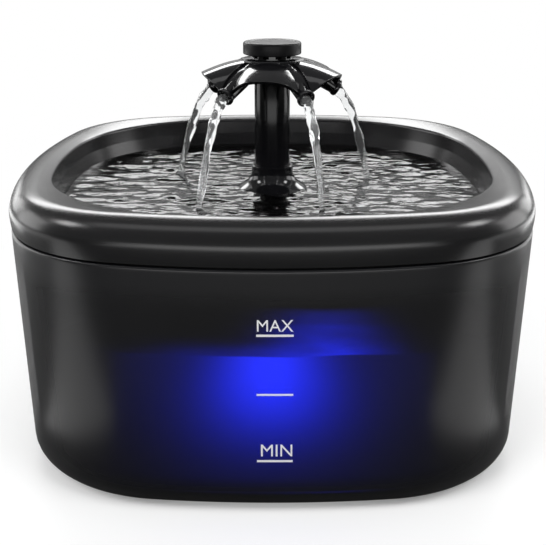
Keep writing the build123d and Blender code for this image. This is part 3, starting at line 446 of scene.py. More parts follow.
def grow_rings(name, rings, count=384):
    """A wall that is extruded ring by ring. Where the last ring meets the first it is closed."""
    deselect()
    bpy.ops.mesh.primitive_circle_add(vertices=count, radius=0.1)
    piece = bpy.context.object
    piece.name = name
    edit_all()
    place_ring(piece, *rings[0])
    for plan, height in rings[1:]:
        bpy.ops.mesh.extrude_edges_move()
        place_ring(piece, plan, height)
    bpy.ops.mesh.select_all(action="SELECT")
    bpy.ops.mesh.remove_doubles(threshold=MERGE)
    end_edit()
    return piece


def close_ends(piece, heights):
    """Puts a face into each open ring at a height."""
    for height in heights:
        pick(piece)
        bpy.ops.object.mode_set(mode="EDIT")
        bpy.ops.mesh.select_all(action="DESELECT")
        mesh = bmesh.from_edit_mesh(piece.data)
        for edge in mesh.edges:
            if edge.is_boundary and abs(edge.verts[0].co.z - height * MM) < 5 * MERGE:
                edge.select = True
        mesh.select_flush(True)
        bmesh.update_edit_mesh(piece.data)
        bpy.ops.mesh.edge_face_add()
        end_edit()


# %% [markdown]
# ## Black plastics
# The tray, the filter cover, the column and the head are injection moulded ABS. It is nearly
# black, so its look comes from reflections: the cover and the head are polished, the column
# mirrors a little less, and the tray has a satin skin. A slightly uneven gloss and an almost
# invisible ripple keep them all from looking like a perfect mirror.

# %% Finishes of the outer pieces
BLACKS = ((0.003, 0.003, 0.0035), (0.006, 0.006, 0.007))
SATIN_BLACKS = ((0.004, 0.004, 0.0045), (0.007, 0.007, 0.0075))
RIPPLE = (0.006, 0.000008)
DULLER = {"Specular IOR Level": 0.25}
black_gloss = surface("black_gloss", *BLACKS, (0.10, 0.14), 0.03, RIPPLE)
column_black = surface("column_black", *BLACKS, (0.14, 0.18), 0.03, RIPPLE, DULLER)
black_satin = surface("black_satin", *SATIN_BLACKS, (0.21, 0.26), 0.03, (0.004, 0.000003))
print("black plastics ready")

# %% [markdown]
# ## The tray
# The drinking tray is one moulding: a skirt, a rolled rim, a bowl, a round pocket for the filter
# and a hub for the column. It could be a plain block that is cut and bevelled, but a long rim like
# this one shows every uneven facet in its highlights. So it is grown from one ring of points that
# is extruded along the section of the wall, all the way round the rim and back beneath the bowl.

# %% Tray sizes
LEDGE = 91.7
SEAM = 0.8  # the shadow gap above the tank's ledge
SKIRT_LOW = LEDGE + SEAM
SKIRT_TUCK = 0.5
ROLL_BASE = 98.0
CREST_HEIGHT = 106.6
LIP_HEIGHT = 105.3
SHOULDER = 99.0
WATER_LINE = 94.0
BOWL_FLOOR = 80.0
BOWL_START = 3.55  # the wall's foot, inwards from the lip
BOWL_ROUND = 4.8
BOWL_FLAT = 60.0  # from here inwards the floor's rings are round
WALL = 2.2
POCKET = 48.0
POCKET_SEAT = 78.0
POCKET_INNER = 46.0
POCKET_FLOOR = 66.0
POCKET_UNDER = 64.0
SLOT_INNER, SLOT_OUTER = 18.0, 38.0
HUB = 9.5
HUB_TOP = 69.0
HUB_LOW = 58.0
SOCKET = 7.3  # the column stands in it
SOCKET_FLOOR = 65.0
TAIL_HOLE = 6.5


# %% Tray section
def roll_rings(wall, steps):
    """The rolled rim, a quarter ellipse in section, moved inwards by a wall."""
    rings = []
    for cosine, sine in quarter(steps):
        sizes = [inner + (outer - inner - wall) * cosine for inner, outer in zip(CREST, ROLL)]
        rings.append((rounded_plan(*sizes), ROLL_BASE + (CREST_HEIGHT - wall - ROLL_BASE) * sine))
    return rings


def skirt_rings(steps):
    """The skirt's gentle tuck under the roll."""
    shares = [1 - step / steps for step in range(steps)]
    drop = ROLL_BASE - SKIRT_LOW
    return insets(ROLL, [(SKIRT_TUCK * share**1.7, ROLL_BASE - drop * share) for share in shares])


def bowl_corner(start, low):
    """A rounded corner between the bowl's floor and its wall, from the wall to the floor."""
    return insets(LIP, [
        (start + BOWL_ROUND * (1 - cosine), low + BOWL_ROUND * (1 - sine)) for cosine, sine in quarter(7)
    ])


rim_inside = [
    (-0.9, LIP_HEIGHT + 0.28), (-0.35, LIP_HEIGHT + 0.05), (0.0, LIP_HEIGHT - 0.35), (0.1, LIP_HEIGHT - 1.0),
    (0.5, SHOULDER + 0.4), (0.6, SHOULDER), (2.1, WATER_LINE + 0.2), (2.25, WATER_LINE - 0.2),
]
pocket_and_hub = [
    (BOWL_FLAT, BOWL_FLOOR), (POCKET + 0.2, BOWL_FLOOR), (POCKET, BOWL_FLOOR - 0.2), (POCKET, POCKET_SEAT),
    (POCKET_INNER, POCKET_SEAT), (POCKET_INNER, POCKET_FLOOR), (SLOT_OUTER, POCKET_FLOOR),
    (SLOT_INNER, POCKET_FLOOR), (HUB, POCKET_FLOOR), (HUB, HUB_TOP), (SOCKET, HUB_TOP),
    (SOCKET, SOCKET_FLOOR), (TAIL_HOLE, SOCKET_FLOOR), (TAIL_HOLE, HUB_LOW), (HUB, HUB_LOW),
    (HUB, POCKET_UNDER), (SLOT_INNER, POCKET_UNDER), (SLOT_OUTER, POCKET_UNDER),
    (POCKET + 0.2, POCKET_UNDER), (POCKET + 0.2, BOWL_FLOOR - WALL), (BOWL_FLAT, BOWL_FLOOR - WALL),
]
outer_wall = [(2.2 - WALL, WATER_LINE), (0.5 - WALL, SHOULDER), (-WALL, CREST_HEIGHT - WALL - 0.3)]
skirt_edge = [(WALL + 0.5, SKIRT_LOW), (0.7, SKIRT_LOW), (SKIRT_TUCK, SKIRT_LOW + 0.2)]
tray_rings = skirt_rings(8) + roll_rings(0, 22)
tray_rings += insets(CREST, [(0.4, CREST_HEIGHT), (0.9, CREST_HEIGHT - 0.12)])
tray_rings += insets(LIP, rim_inside) + bowl_corner(BOWL_START, BOWL_FLOOR) + rounds(pocket_and_hub)
tray_rings += reversed(bowl_corner(BOWL_START - WALL, BOWL_FLOOR - WALL))
tray_rings += insets(LIP, outer_wall)
tray_rings += reversed(roll_rings(WALL, 8))
tray_rings += insets(ROLL, skirt_edge)
drinking_tray = grow_rings("drinking_tray", tray_rings)
print("tray rings", len(tray_rings))

# %% [markdown]
# ### Cutting the drain slots
# Water that has passed the filter falls through twelve slots in the pocket's floor. The cutter of
# a slot is made once and copied round the hub, and one Boolean modifier takes them all away.

# %% Copies round the axis, and cutting
def joined(pieces):
    """Several meshes as one, with their places in the mesh."""
    deselect()
    for piece in pieces:
        piece.select_set(True)
    bpy.context.view_layer.objects.active = pieces[0]
    bpy.ops.object.transform_apply(location=True, rotation=True, scale=True)
    bpy.ops.object.join()
    return pieces[0]


def ring_of(piece, count, start=0.0):
    """Turned copies of a piece round the vertical axis, each with its own mesh, joined into one."""
    turned_copies = []
    for index in range(count):
        twin = piece.copy()
        twin.data = piece.data.copy()
        bpy.context.collection.objects.link(twin)
        twin.rotation_euler.z = start + 2 * pi * index / count
        turned_copies.append(twin)
    bpy.data.objects.remove(piece)
    return joined(turned_copies)


def cut(piece, cutter):
    """Takes a cutter out of a piece, and deletes the cutter."""
    finish_with(piece, "BOOLEAN", {"operation": "DIFFERENCE", "solver": "EXACT", "object": cutter})
    bpy.data.objects.remove(cutter)


def slot_cutters(count, width, inner, outer, low, high):
    """Round-ended radial slots in one mesh."""
    deselect()
    middle = (0, 0, (low + high) / 2 * MM)
    size = {"radius": width / 2 * MM, "depth": (high - low) * MM}
    bpy.ops.mesh.primitive_cylinder_add(vertices=16, location=middle, **size)
    slot = bpy.context.object
    bpy.ops.object.transform_apply(location=True)
    for point in slot.data.vertices:
        point.co.x += ((outer - width / 2) if point.co.x > 0 else (inner + width / 2)) * MM
    return ring_of(slot, count)


# %% Drain slots
cut(drinking_tray, slot_cutters(12, 4.0, SLOT_INNER - 1, SLOT_OUTER + 2, POCKET_UNDER - 2, POCKET_FLOOR + 2))
smooth(drinking_tray)
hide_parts("top_tray")
dress(drinking_tray, black_satin, "tray")

# %% [markdown]
# ## The column
# The riser is a plain tube with a thinner tail that stands in the tray's hub. A tube can come from
# a cylinder primitive, but its ends need small rounded edges that catch the light, so it is drawn
# with the same ring method, out along one side of the wall and back along the other.

# %% Column
COLUMN_TOP = 138.7
COLUMN = 7.0
COLUMN_BORE = 5.2
TAIL = 6.2
TAIL_LOW = 52.0


def turned(name, section, count=96):
    """A closed shape turned about the vertical axis from (radius, height) points in millimetres."""
    return grow_rings(name, rounds(section + section[:1]), count)


column = turned("column", [
    (COLUMN_BORE, TAIL_LOW + 0.2), (5.5, TAIL_LOW), (6.0, TAIL_LOW), (TAIL, TAIL_LOW + 0.3),
    (TAIL, SOCKET_FLOOR), (6.7, SOCKET_FLOOR), (COLUMN, SOCKET_FLOOR + 0.4), (COLUMN, 80.0),
    (COLUMN, 100.0), (COLUMN, 120.0), (COLUMN, COLUMN_TOP - 0.5), (6.85, COLUMN_TOP - 0.15),
    (6.5, COLUMN_TOP), (5.5, COLUMN_TOP), (COLUMN_BORE, COLUMN_TOP - 0.3), (COLUMN_BORE, 100.0),
])
smooth(column)
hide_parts("riser_tube")
dress(column, column_black, "riser")

# %% [markdown]
# ## The filter cover
# A slotted disc closes the filter pocket, and its middle rises as a bell that ends in a collar
# round the column. The bell spreads quickly just above the water and runs down under it. It is
# turned like the column, and its slots are cut like the drain slots.

# %% Filter cover
COVER = 47.7
COVER_LOW = 78.0
COLLAR_BORE = 7.3
COLLAR_TOP = 103.1
collar = [
    (COLLAR_BORE, 100.0), (COLLAR_BORE, COLLAR_TOP - 0.2), (7.5, COLLAR_TOP), (8.2, COLLAR_TOP),
    (8.45, COLLAR_TOP - 0.2), (8.45, 102.3), (8.3, 101.9),
]
flare = [
    (8.3, 100.4), (8.4, 99.5), (8.7, 98.6), (9.2, 97.7), (9.9, 96.8), (10.8, 96.0), (11.8, 95.3),
    (12.9, 94.6), (14.0, 93.8), (15.1, 92.7), (16.2, 91.2), (17.6, 88.8), (19.5, 85.0), (20.6, 82.0),
    (21.4, 80.4),
]
disc = [
    (22.0, BOWL_FLOOR), (35.0, BOWL_FLOOR), (COVER - 0.4, BOWL_FLOOR), (COVER - 0.1, BOWL_FLOOR - 0.15),
    (COVER, BOWL_FLOOR - 0.4), (COVER, COVER_LOW), (35.0, COVER_LOW), (20.4, COVER_LOW),
]
inner_flare = [
    (19.2, 81.2), (17.9, 84.6), (15.0, 90.6), (13.4, 92.3), (11.0, 93.9), (9.2, 95.6), (8.0, 97.4),
    (COLLAR_BORE, 98.4),
]
bell_cover = turned("bell_cover", collar + flare + disc + inner_flare, 192)
cut(bell_cover, slot_cutters(20, 2.6, 25, 43, COVER_LOW - 2, BOWL_FLOOR + 2))
smooth(bell_cover)
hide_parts("filter_cover")
dress(bell_cover, black_gloss, "filter")

# %% [markdown]
# ## The spout head
# Five flat-topped arms carry the water outwards, each to a round nozzle. Between them five webs
# rise like small vaults: level along the middle and steep beside the arms, so that their outer
# edges are arches. A vault is easiest as a flat grid that is bent by a formula, and Solidify gives
# it its thickness.

# %% Head sizes
ARMS = 5
PITCH = 2 * pi / ARMS
FIRST_WEB = radians(-7 - 90)
FIRST_ARM = FIRST_WEB + PITCH / 2
FLANGE_TOP = 145.4
FLANGE = 12.6
FLANGE_THICK = 1.5
CAP_LOW = 147.1
ARM_START = 12.2
ARM_LINE = ((0.0, 1.4), (5.4, 3.2), (10.2, 6.4), (13.4, 10.2), (14.4, 12.8))  # (reach, drop)
ARM_REACH = 14.2
ARM_ROOT = 6.0  # how far an arm runs back into the head
ARM_HALF = 2.9
ARM_DEPTH = 1.9
ARM_SPREAD = radians(16)
WEB_WALL = 1.3
WEB_SIDE = 13.6
WEB_REACH = 15.6
WEB_DROP = 4.6
WEB_RIDGE = 0.8
WEB_FLATNESS = 2.7


def arm_drop(reach):
    """How far below the flange an arm's top lies, read from its line."""
    for (start, high), (end, low) in zip(ARM_LINE, ARM_LINE[1:]):
        if reach <= end:
            return high + (low - high) * (reach - start) / (end - start)
    return low


def rounded_drop(reach):
    """The arm's drop, averaged a little along it so that its line has no corners."""
    near = [arm_drop(max(reach + 1.6 * (step / 4 - 1), 0)) for step in range(9)]
    return sum(near) / len(near)


print("an arm's end lies", round(rounded_drop(ARM_REACH), 2), "mm below the flange")

# %% Webs
def grow_web():
    """A web along +X: a grid whose rows bend down ever more steeply towards the arms."""
    deselect()
    bpy.ops.mesh.primitive_grid_add(x_subdivisions=26, y_subdivisions=40, size=2)
    piece = bpy.context.object
    half = PITCH / 2
    side = ARM_HALF - 0.4
    inner = ARM_START * cos(half) + side * sin(half)
    for point in piece.data.vertices:
        share, across = (point.co.x + 1) / 2, point.co.y
        reach = ARM_START + WEB_SIDE * share
        edge_x = reach * cos(half) + side * sin(half)
        edge_y = reach * sin(half) - side * cos(half)
        edge_z = FLANGE_TOP - rounded_drop(reach - ARM_START) + WEB_RIDGE
        crest_x = inner + (ARM_START + WEB_REACH - inner) * share
        crest_z = FLANGE_TOP - 0.3 - WEB_DROP * share**1.5
        steep = abs(across) ** WEB_FLATNESS
        x = crest_x + (edge_x - crest_x) * steep
        z = crest_z + (edge_z - crest_z) * steep
        point.co = Vector((x, edge_y * across, z)) * MM
    finish_with(piece, "SOLIDIFY", {"thickness": WEB_WALL * MM, "offset": -1.0})
    soften(piece, 0.42, 4, 50)
    return piece


webs = ring_of(grow_web(), ARMS, FIRST_WEB)
print("webs", len(webs.data.polygons), "faces")

# %% [markdown]
# ### Arms and nozzles
# An arm is a flat bar along a drooping line, and under it runs the round nozzle, which bends down
# and ends in a thicker ring with a bore. Both could be curves with a profile, but a curve keeps
# one profile all along. So both grow from a flat face that is extruded from place to place.

# %% Bars that grow along a path
def start_face(sides):
    deselect()
    bpy.ops.mesh.primitive_circle_add(vertices=sides, radius=0.01, fill_type="NGON")
    return bpy.context.object


def grow_bar(piece, stations, lay):
    """A closed bar: its face is extruded at each station, and a function lays each ring of points."""
    edit_all()
    for index, station in enumerate(stations):
        if index:
            bpy.ops.mesh.extrude_region_move()
        mesh = bmesh.from_edit_mesh(piece.data)
        lay([point for point in mesh.verts if point.select], station)
        bmesh.update_edit_mesh(piece.data)
    end_edit()
    return piece


# %% Arms
def lay_arm(ring, reach):
    """Four corners across the arm. The lower two lie a little further in."""
    ring.sort(key=lambda point: (point.co.y > 0, point.co.x + point.co.z))
    top = FLANGE_TOP - rounded_drop(max(reach, 0))
    for order, point in enumerate(ring):
        low = ARM_DEPTH if order % 2 == 0 else 0.0
        side = ARM_HALF if order > 1 else -ARM_HALF
        point.co = Vector((ARM_START + reach - low * 0.4, side, top - low)) * MM


def grow_arm():
    """A bar along the arm's line, from the hub to the nozzle."""
    deselect()
    bpy.ops.mesh.primitive_plane_add(size=1)
    stations = [-ARM_ROOT] + [ARM_REACH * step / 14 for step in range(15)]
    arm = grow_bar(bpy.context.object, stations, lay_arm)
    soften(arm, 0.25, 2, 50)
    return arm


arms = ring_of(grow_arm(), ARMS, FIRST_ARM)
print("arms", len(arms.data.polygons), "faces")

# %% Nozzles
NOZZLE_START = (8.0, 142.6)
ELBOW = (17.0, 138.4)
MOUTH = (26.6, 133.1)
NOZZLE = 3.0
NOZZLE_END = (
    (0.4, NOZZLE), (0.82, NOZZLE), (0.86, 3.3), (0.9, 3.5), (0.97, 3.55), (1.0, 3.4), (1.0, 2.5),
    (0.98, 2.25), (0.8, 2.2), (0.5, 2.2),
)


def nozzle_stations():
    """A bend down to the elbow, a straight run to the mouth's ring and a bore that turns back inside."""
    run_x, run_z = MOUTH[0] - ELBOW[0], MOUTH[1] - ELBOW[1]
    fall = atan2(run_z, run_x)
    stations = []
    for step in range(9):
        share = step / 8
        x = NOZZLE_START[0] + (ELBOW[0] - NOZZLE_START[0]) * share
        z = NOZZLE_START[1] - (NOZZLE_START[1] - ELBOW[1]) * share**1.6
        stations.append((x, z, fall * share, NOZZLE))
    for share, radius in NOZZLE_END:
        stations.append((ELBOW[0] + run_x * share, ELBOW[1] + run_z * share, fall, radius))
    return stations


def lay_nozzle(ring, station):
    """A round ring across a path in the XZ plane."""
    x, z, lean, radius = station
    for order, point in enumerate(ring):
        turn = 2 * pi * order / len(ring)
        offset = radius * cos(turn)
        point.co = Vector((x - offset * sin(lean), radius * sin(turn), z + offset * cos(lean))) * MM


nozzle = grow_bar(start_face(32), nozzle_stations(), lay_nozzle)
nozzles = ring_of(nozzle, ARMS, FIRST_ARM)
print("nozzles", len(nozzles.data.polygons), "faces")

# %% Flange, neck and hub
BARREL = 8.6
NECK_BORE = 6.2
SPIGOT = 5.12
SPIGOT_BORE = 4.0
SPIGOT_LOW = 124.0
HEAD_LOW = 139.0
WINDOWS = 10
WINDOW_SIZE = (6.0, 2.4, 2.0)
flange_turns = []
for index in range(ARMS):
    arm_turn = FIRST_ARM + PITCH * index
    flange_turns += [arm_turn - ARM_SPREAD, arm_turn + ARM_SPREAD]


def lay_flange(ring, height):
    for point, turn in zip(ring, flange_turns):
        point.co = Vector((FLANGE * cos(turn), FLANGE * sin(turn), height)) * MM


flange = grow_bar(start_face(len(flange_turns)), (FLANGE_TOP - FLANGE_THICK, FLANGE_TOP), lay_flange)
soften(flange, 0.3, 3, 30)
neck = turned("neck", [
    (NECK_BORE, FLANGE_TOP - 5), (8.4, FLANGE_TOP - 5), (BARREL, FLANGE_TOP - 1), (7.95, FLANGE_TOP - 0.5),
    (7.9, FLANGE_TOP), (7.85, CAP_LOW - 0.15), (7.7, CAP_LOW), (6.35, CAP_LOW), (NECK_BORE, CAP_LOW - 0.15),
], 80)
hub = turned("hub", [
    (SPIGOT_BORE, SPIGOT_LOW), (SPIGOT, SPIGOT_LOW), (SPIGOT, HEAD_LOW), (8.4, HEAD_LOW),
    (BARREL, HEAD_LOW + 0.2), (BARREL, FLANGE_TOP - 1), (SPIGOT_BORE, FLANGE_TOP - 1),
], 80)
deselect()
window_place = Vector((7.5, 0, CAP_LOW - 0.3)) * MM
bpy.ops.mesh.primitive_cube_add(size=1, location=window_place, scale=Vector(WINDOW_SIZE) * MM)
window = bpy.context.object
bpy.ops.object.transform_apply(location=True, scale=True)
cut(neck, ring_of(window, WINDOWS))
print("neck", len(neck.data.polygons), "faces with its windows")

# %% Head in one piece
spout_flower = joined([webs, arms, nozzles, flange, neck, hub])
spout_flower.name = "spout_flower"
smooth(spout_flower, 40)
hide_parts("spout_head")
dress(spout_flower, black_gloss, "spout_head")

# %% [markdown]
# ## The cap
# A thick button closes the head. It is satin rather than glossy, a shallow step runs round its
# top, and its hollow stem pushes into the neck, where a rubber ring seals it.

# %% Cap
CAP = 11.4
CAP_TOP = 151.9
CAP_ROUND = 0.9
STEM = 5.5
STEM_BORE = 4.3
STEM_LOW = 142.5
CAP_BLACKS = ((0.005, 0.005, 0.0055), (0.009, 0.009, 0.0095))
DULLEST = {"Specular IOR Level": 0.12}
cap_satin = surface("cap_satin", *CAP_BLACKS, (0.32, 0.38), 0.01, (0.0005, 0.000006), DULLEST)
crown = [
    (CAP - CAP_ROUND * (1 - cosine), CAP_TOP - CAP_ROUND * (1 - sine)) for cosine, sine in quarter(7)
]
crown += [(9.6, CAP_TOP + 0.04), (9.3, CAP_TOP - 0.12), (8.6, CAP_TOP - 0.16), (5.0, CAP_TOP - 0.05)]
button = grow_rings("button", rounds([
    (0.6, CAP_LOW), (STEM_BORE, CAP_LOW), (STEM_BORE, STEM_LOW), (STEM, STEM_LOW), (STEM, CAP_LOW),
    (10.8, CAP_LOW), (CAP - 0.15, CAP_LOW + 0.15), (CAP, CAP_LOW + 0.5), *crown, (1.0, CAP_TOP),
]), 96)
close_ends(button, (CAP_LOW, CAP_TOP))
smooth(button)
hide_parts("spout_cap")
dress(button, cap_satin, "cap")

# %% [markdown]
# ## Smoked plastic
# The tank is clear plastic with a dark smoke tint. Light passes through it only weakly, so the
# shell looks black where nothing shines behind it and lets a lamp in the water glow through. An
# Alpha below one does that cleanly: the gloss stays on top and a share of the light goes through.
# At the foot and under the rim, where more plastic lies one behind the other, it is denser.

# %% Smoked plastic
DENSER = 0.28
smoked = Finish("smoked_clear")
smoke_share = smoked.grain(0.05)
shell_height = smoked.axis("Z")
thick_foot = smoked.node("MapRange", {}, {0: shell_height, 1: 0.014, 2: 0.004, 3: 0.0, 4: DENSER})
thick_rim = smoked.node("MapRange", {}, {0: shell_height, 1: 0.078, 2: 0.086, 3: 0.0, 4: DENSER})
smoked_clear = smoked.principled({
    "Base Color": smoked.blend(smoke_share, (0.004, 0.004, 0.005), (0.007, 0.007, 0.008)),
    "Roughness": smoke_share * 0.06 + 0.26,
    "Alpha": (smoke_share * 0.04 + 0.72 + thick_foot + thick_rim).clipped(),
    "Normal": smoked.raised(smoked.grain(0.012, 2.0), 0.00001),
})
print("smoked plastic ready")

# %% [markdown]
# ## The tank
# The tank is a deep open shell whose walls lean outwards a little. Near its top a ledge carries
# the tray, and a thin tongue stands inside the tray's skirt. The same ring method draws its
# section, and both floors are closed with a face.

# %% Tank section
TANK_BOTTOM = 0.8
TANK_FLOOR = 3.8
TANK_WALL = 2.6
BASE_ROUND = 9.0
EDGE_ROUND = 0.9
TONGUE_OUTSIDE = 2.55
TONGUE_INSIDE = 4.55
TONGUE_TOP = 95.7
TONGUE_LOW = 85.7


def tank_plan(height, amount=0.0):
    """The tank's outline at a height, moved inwards."""
    share = (height - TANK_BOTTOM) / (LEDGE - TANK_BOTTOM)
    return between(inset(TANK_BASE, amount), inset(TANK_TOP, amount), share)


def wall_rings(points):
    """Rings of the leaning wall, from amounts moved inwards and heights."""
    return [(tank_plan(height, amount), height) for amount, height in points]


def base_rings(amount, bottom, radius):
    """The rounded lower edge, from the floor to the wall."""
    return wall_rings(
        [(amount + radius * (1 - sine), bottom + radius * (1 - cosine)) for cosine, sine in quarter(9)]
    )


# %% Tank
tongue = [
    (TONGUE_OUTSIDE, LEDGE), (TONGUE_OUTSIDE, TONGUE_TOP - 0.2), (TONGUE_OUTSIDE + 0.2, TONGUE_TOP),
    (TONGUE_INSIDE - 0.2, TONGUE_TOP), (TONGUE_INSIDE, TONGUE_TOP - 0.2), (TONGUE_INSIDE, TONGUE_LOW),
    (TANK_WALL, TONGUE_LOW - 2),
]
tank_rings = rounds([(20, TANK_BOTTOM), (70, TANK_BOTTOM)]) + base_rings(0, TANK_BOTTOM, BASE_ROUND)
tank_rings += wall_rings([(0, height) for height in (20, 32, 44, 56, 68, 80, 90)])
tank_rings += wall_rings(
    [(EDGE_ROUND * (1 - cosine), LEDGE - EDGE_ROUND * (1 - sine)) for cosine, sine in quarter(6)]
)
tank_rings += insets(TANK_TOP, tongue)
tank_rings += wall_rings([(TANK_WALL, height) for height in (70, 56, 44, 32, 20)])
tank_rings += reversed(base_rings(TANK_WALL, TANK_FLOOR, BASE_ROUND - TANK_WALL))
tank_rings += rounds([(70, TANK_FLOOR), (20, TANK_FLOOR)])
water_tank = grow_rings("water_tank", tank_rings)
close_ends(water_tank, (TANK_BOTTOM, TANK_FLOOR))

# %% Notch for the inlet
NOTCH_HALF = 5.0
NOTCH_MIDDLE = 88.2
deselect()
notch_place = Vector((0, 98, NOTCH_MIDDLE)) * MM
notch_size = {"vertices": 48, "radius": NOTCH_HALF * MM, "depth": 20 * MM}
bpy.ops.mesh.primitive_cylinder_add(location=notch_place, rotation=(pi / 2, 0, 0), **notch_size)
notch = bpy.context.object
bpy.ops.object.transform_apply(location=True, rotation=True)
for point in notch.data.vertices:
    if point.co.z > NOTCH_MIDDLE * MM:
        point.co.z += 12 * MM
cut(water_tank, notch)
smooth(water_tank, 40)
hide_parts("tank")
dress(water_tank, smoked_clear, "tank")

# %% [markdown]
# ## Water
# Water is nearly all reflection and refraction, so both finishes let light through. The streams
# hold fine bubbles, which a small share of plain white gives. The bowl's water is darker and
# bends light less, so that it stays quiet over the black bowl. Its waves are real ones in the
# mesh, and only the finest chop is a bump.

# %% Water finishes
clear = Finish("clear_water")
water = clear.principled({
    "Base Color": clear.blend(clear.grain(0.01), (0.93, 0.95, 0.96), WHITE),
    "Roughness": 0.02,
    "IOR": 1.33,
    "Transmission Weight": 0.94,
    "Normal": clear.raised(clear.grain(0.0025, 1.0), 0.00004),
})
still = Finish("bowl_water_finish")
pool = still.principled({
    "Base Color": still.blend(still.grain(0.02), (0.10, 0.10, 0.105), (0.16, 0.16, 0.165)),
    "Roughness": 0.12,
    "IOR": 1.22,
    "Transmission Weight": 1.0,
    "Normal": still.raised(still.grain(0.003, 2.0, (0.35, 1, 1)), 0.0003),
})
print("water finishes ready")

# %% Where the streams leave their nozzles, and where they land
MOUTH_HEIGHT = 132.6
STREAMS = {
    "stream_front_left": ((-18.3, -19.3), (-27.8, -33.4)),
    "stream_front_right": ((12.7, -23.4), (18.9, -36.6)),
    "stream_right": ((26.2, 4.8), (40.2, 14.4)),
    "stream_back": ((3.5, 26.4), (5.6, 42.5)),
    "stream_left": ((-24.0, 11.4), (-39.5, 23.9)),
}
print(len(STREAMS), "streams")

# %% Waves on the bowl's water
RIPPLE_LENGTH = 7.0
RIPPLE_FADE = 15.0
RIPPLE_HEIGHT = 0.28
CHOP_HEIGHT = 0.7


def ripple(x, y):
    """The height of the water over its rest level, in millimetres, at a place in millimetres."""
    height = 0.0
    for _, (land_x, land_y) in STREAMS.values():
        away = hypot(x - land_x, y - land_y)
        height += RIPPLE_HEIGHT * cos(2 * pi * away / RIPPLE_LENGTH) * exp(-away / RIPPLE_FADE)
    height += CHOP_HEIGHT * noise.noise(Vector((x / 13, y / 4.4, 0.0)))
    height += 0.45 * CHOP_HEIGHT * noise.noise(Vector((x / 6 + 5, y / 2.2 + 3, 1.0)))
    return height


# %% Bowl water
POOL_GAP = 2.35  # inwards from the lip
POOL_EDGE = inset(LIP, POOL_GAP)
POOL_INNER = round_plan(13.9)
POOL_STEPS = 120
POOL_LOW = BOWL_FLOOR + 0.4
SHORE = 3.0  # the waves fade out over this width
pool_rings = insets(LIP, [(2.7, WATER_LINE - 1.2), (2.45, WATER_LINE - 0.4)])
for step in range(POOL_STEPS + 1):
    pool_rings.append((between(POOL_EDGE, POOL_INNER, step / POOL_STEPS), WATER_LINE))
pool_rings += rounds([(15.3, 92.9), (17.8, 89.5), (20.0, 85.1), (21.6, POOL_LOW), (46, POOL_LOW)])
pool_rings += insets(LIP, [(10, POOL_LOW), (6.0, 81.6), (4.2, 84.8)])
pool_rings += pool_rings[:1]
bowl_water = grow_rings("bowl_water", pool_rings, 360)
for point in bowl_water.data.vertices:
    if point.co.z > (WATER_LINE - 0.1) * MM:
        inwards = POOL_EDGE(atan2(point.co.y, point.co.x)) - hypot(point.co.x, point.co.y)
        share = min(1.0, max(0.0, inwards / (SHORE * MM)))
        point.co.z += ripple(point.co.x / MM, point.co.y / MM) * MM * share
smooth(bowl_water, 80)
dress(bowl_water, pool, "tray")

# %% [markdown]
# ## The streams
# A falling stream starts as wide as its nozzle, speeds up and thins out, and it trembles. Each
# one is a bar that grows down a parabola from its nozzle to the place where it lands, with a slow
# twist and a few swellings along it.

# %% Streams
STREAM_STEPS = 44
STREAM = 2.1
STREAM_THINS = 0.85
STREAM_SWELLS = 0.16
STREAM_TREMBLES = 0.5


def stream_stations(mouth, landing, number):
    """The way down from just inside the nozzle, with two directions across it at each step."""
    path, stations = [], []
    for step in range(STREAM_STEPS + 1):
        share = (step - 2) / (STREAM_STEPS - 2)
        x = mouth[0] + (landing[0] - mouth[0]) * share
        y = mouth[1] + (landing[1] - mouth[1]) * share
        fallen = 0.27 * share + 0.73 * share * abs(share)
        z = MOUTH_HEIGHT - (MOUTH_HEIGHT - WATER_LINE + 0.5) * fallen
        radius = STREAM - STREAM_THINS * share + STREAM_SWELLS * sin(17 * share + number)
        path.append((Vector((x, y, z)) * MM, radius * MM))
    for step, (spot, radius) in enumerate(path):
        ahead = (path[min(step + 1, STREAM_STEPS)][0] - path[max(step - 1, 0)][0]).normalized()
        side = ahead.cross(Vector((0, 1, 0.01))).normalized()
        stations.append((step, spot, side, side.cross(ahead), radius, number * 3.7))
    return stations


def lay_stream(ring, station):
    """A round ring that noise presses out of shape, a little more turned at each step."""
    step, spot, side, up, radius, seed = station
    for order, point in enumerate(ring):
        turn = 2 * pi * order / len(ring)
        twist = turn + step * 0.12
        where = Vector((cos(twist) * 0.9, sin(twist) * 0.9, step * 0.16 + seed))
        wave = 1 + STREAM_TREMBLES * noise.noise(where)
        point.co = spot + (side * cos(turn) + up * sin(turn)) * radius * wave


for number, (name, (mouth, landing)) in enumerate(STREAMS.items()):
    stream = grow_bar(start_face(20), stream_stations(mouth, landing, number), lay_stream)
    stream.name = name
    smooth(stream, 60)
    dress(stream, water, "spout_head")
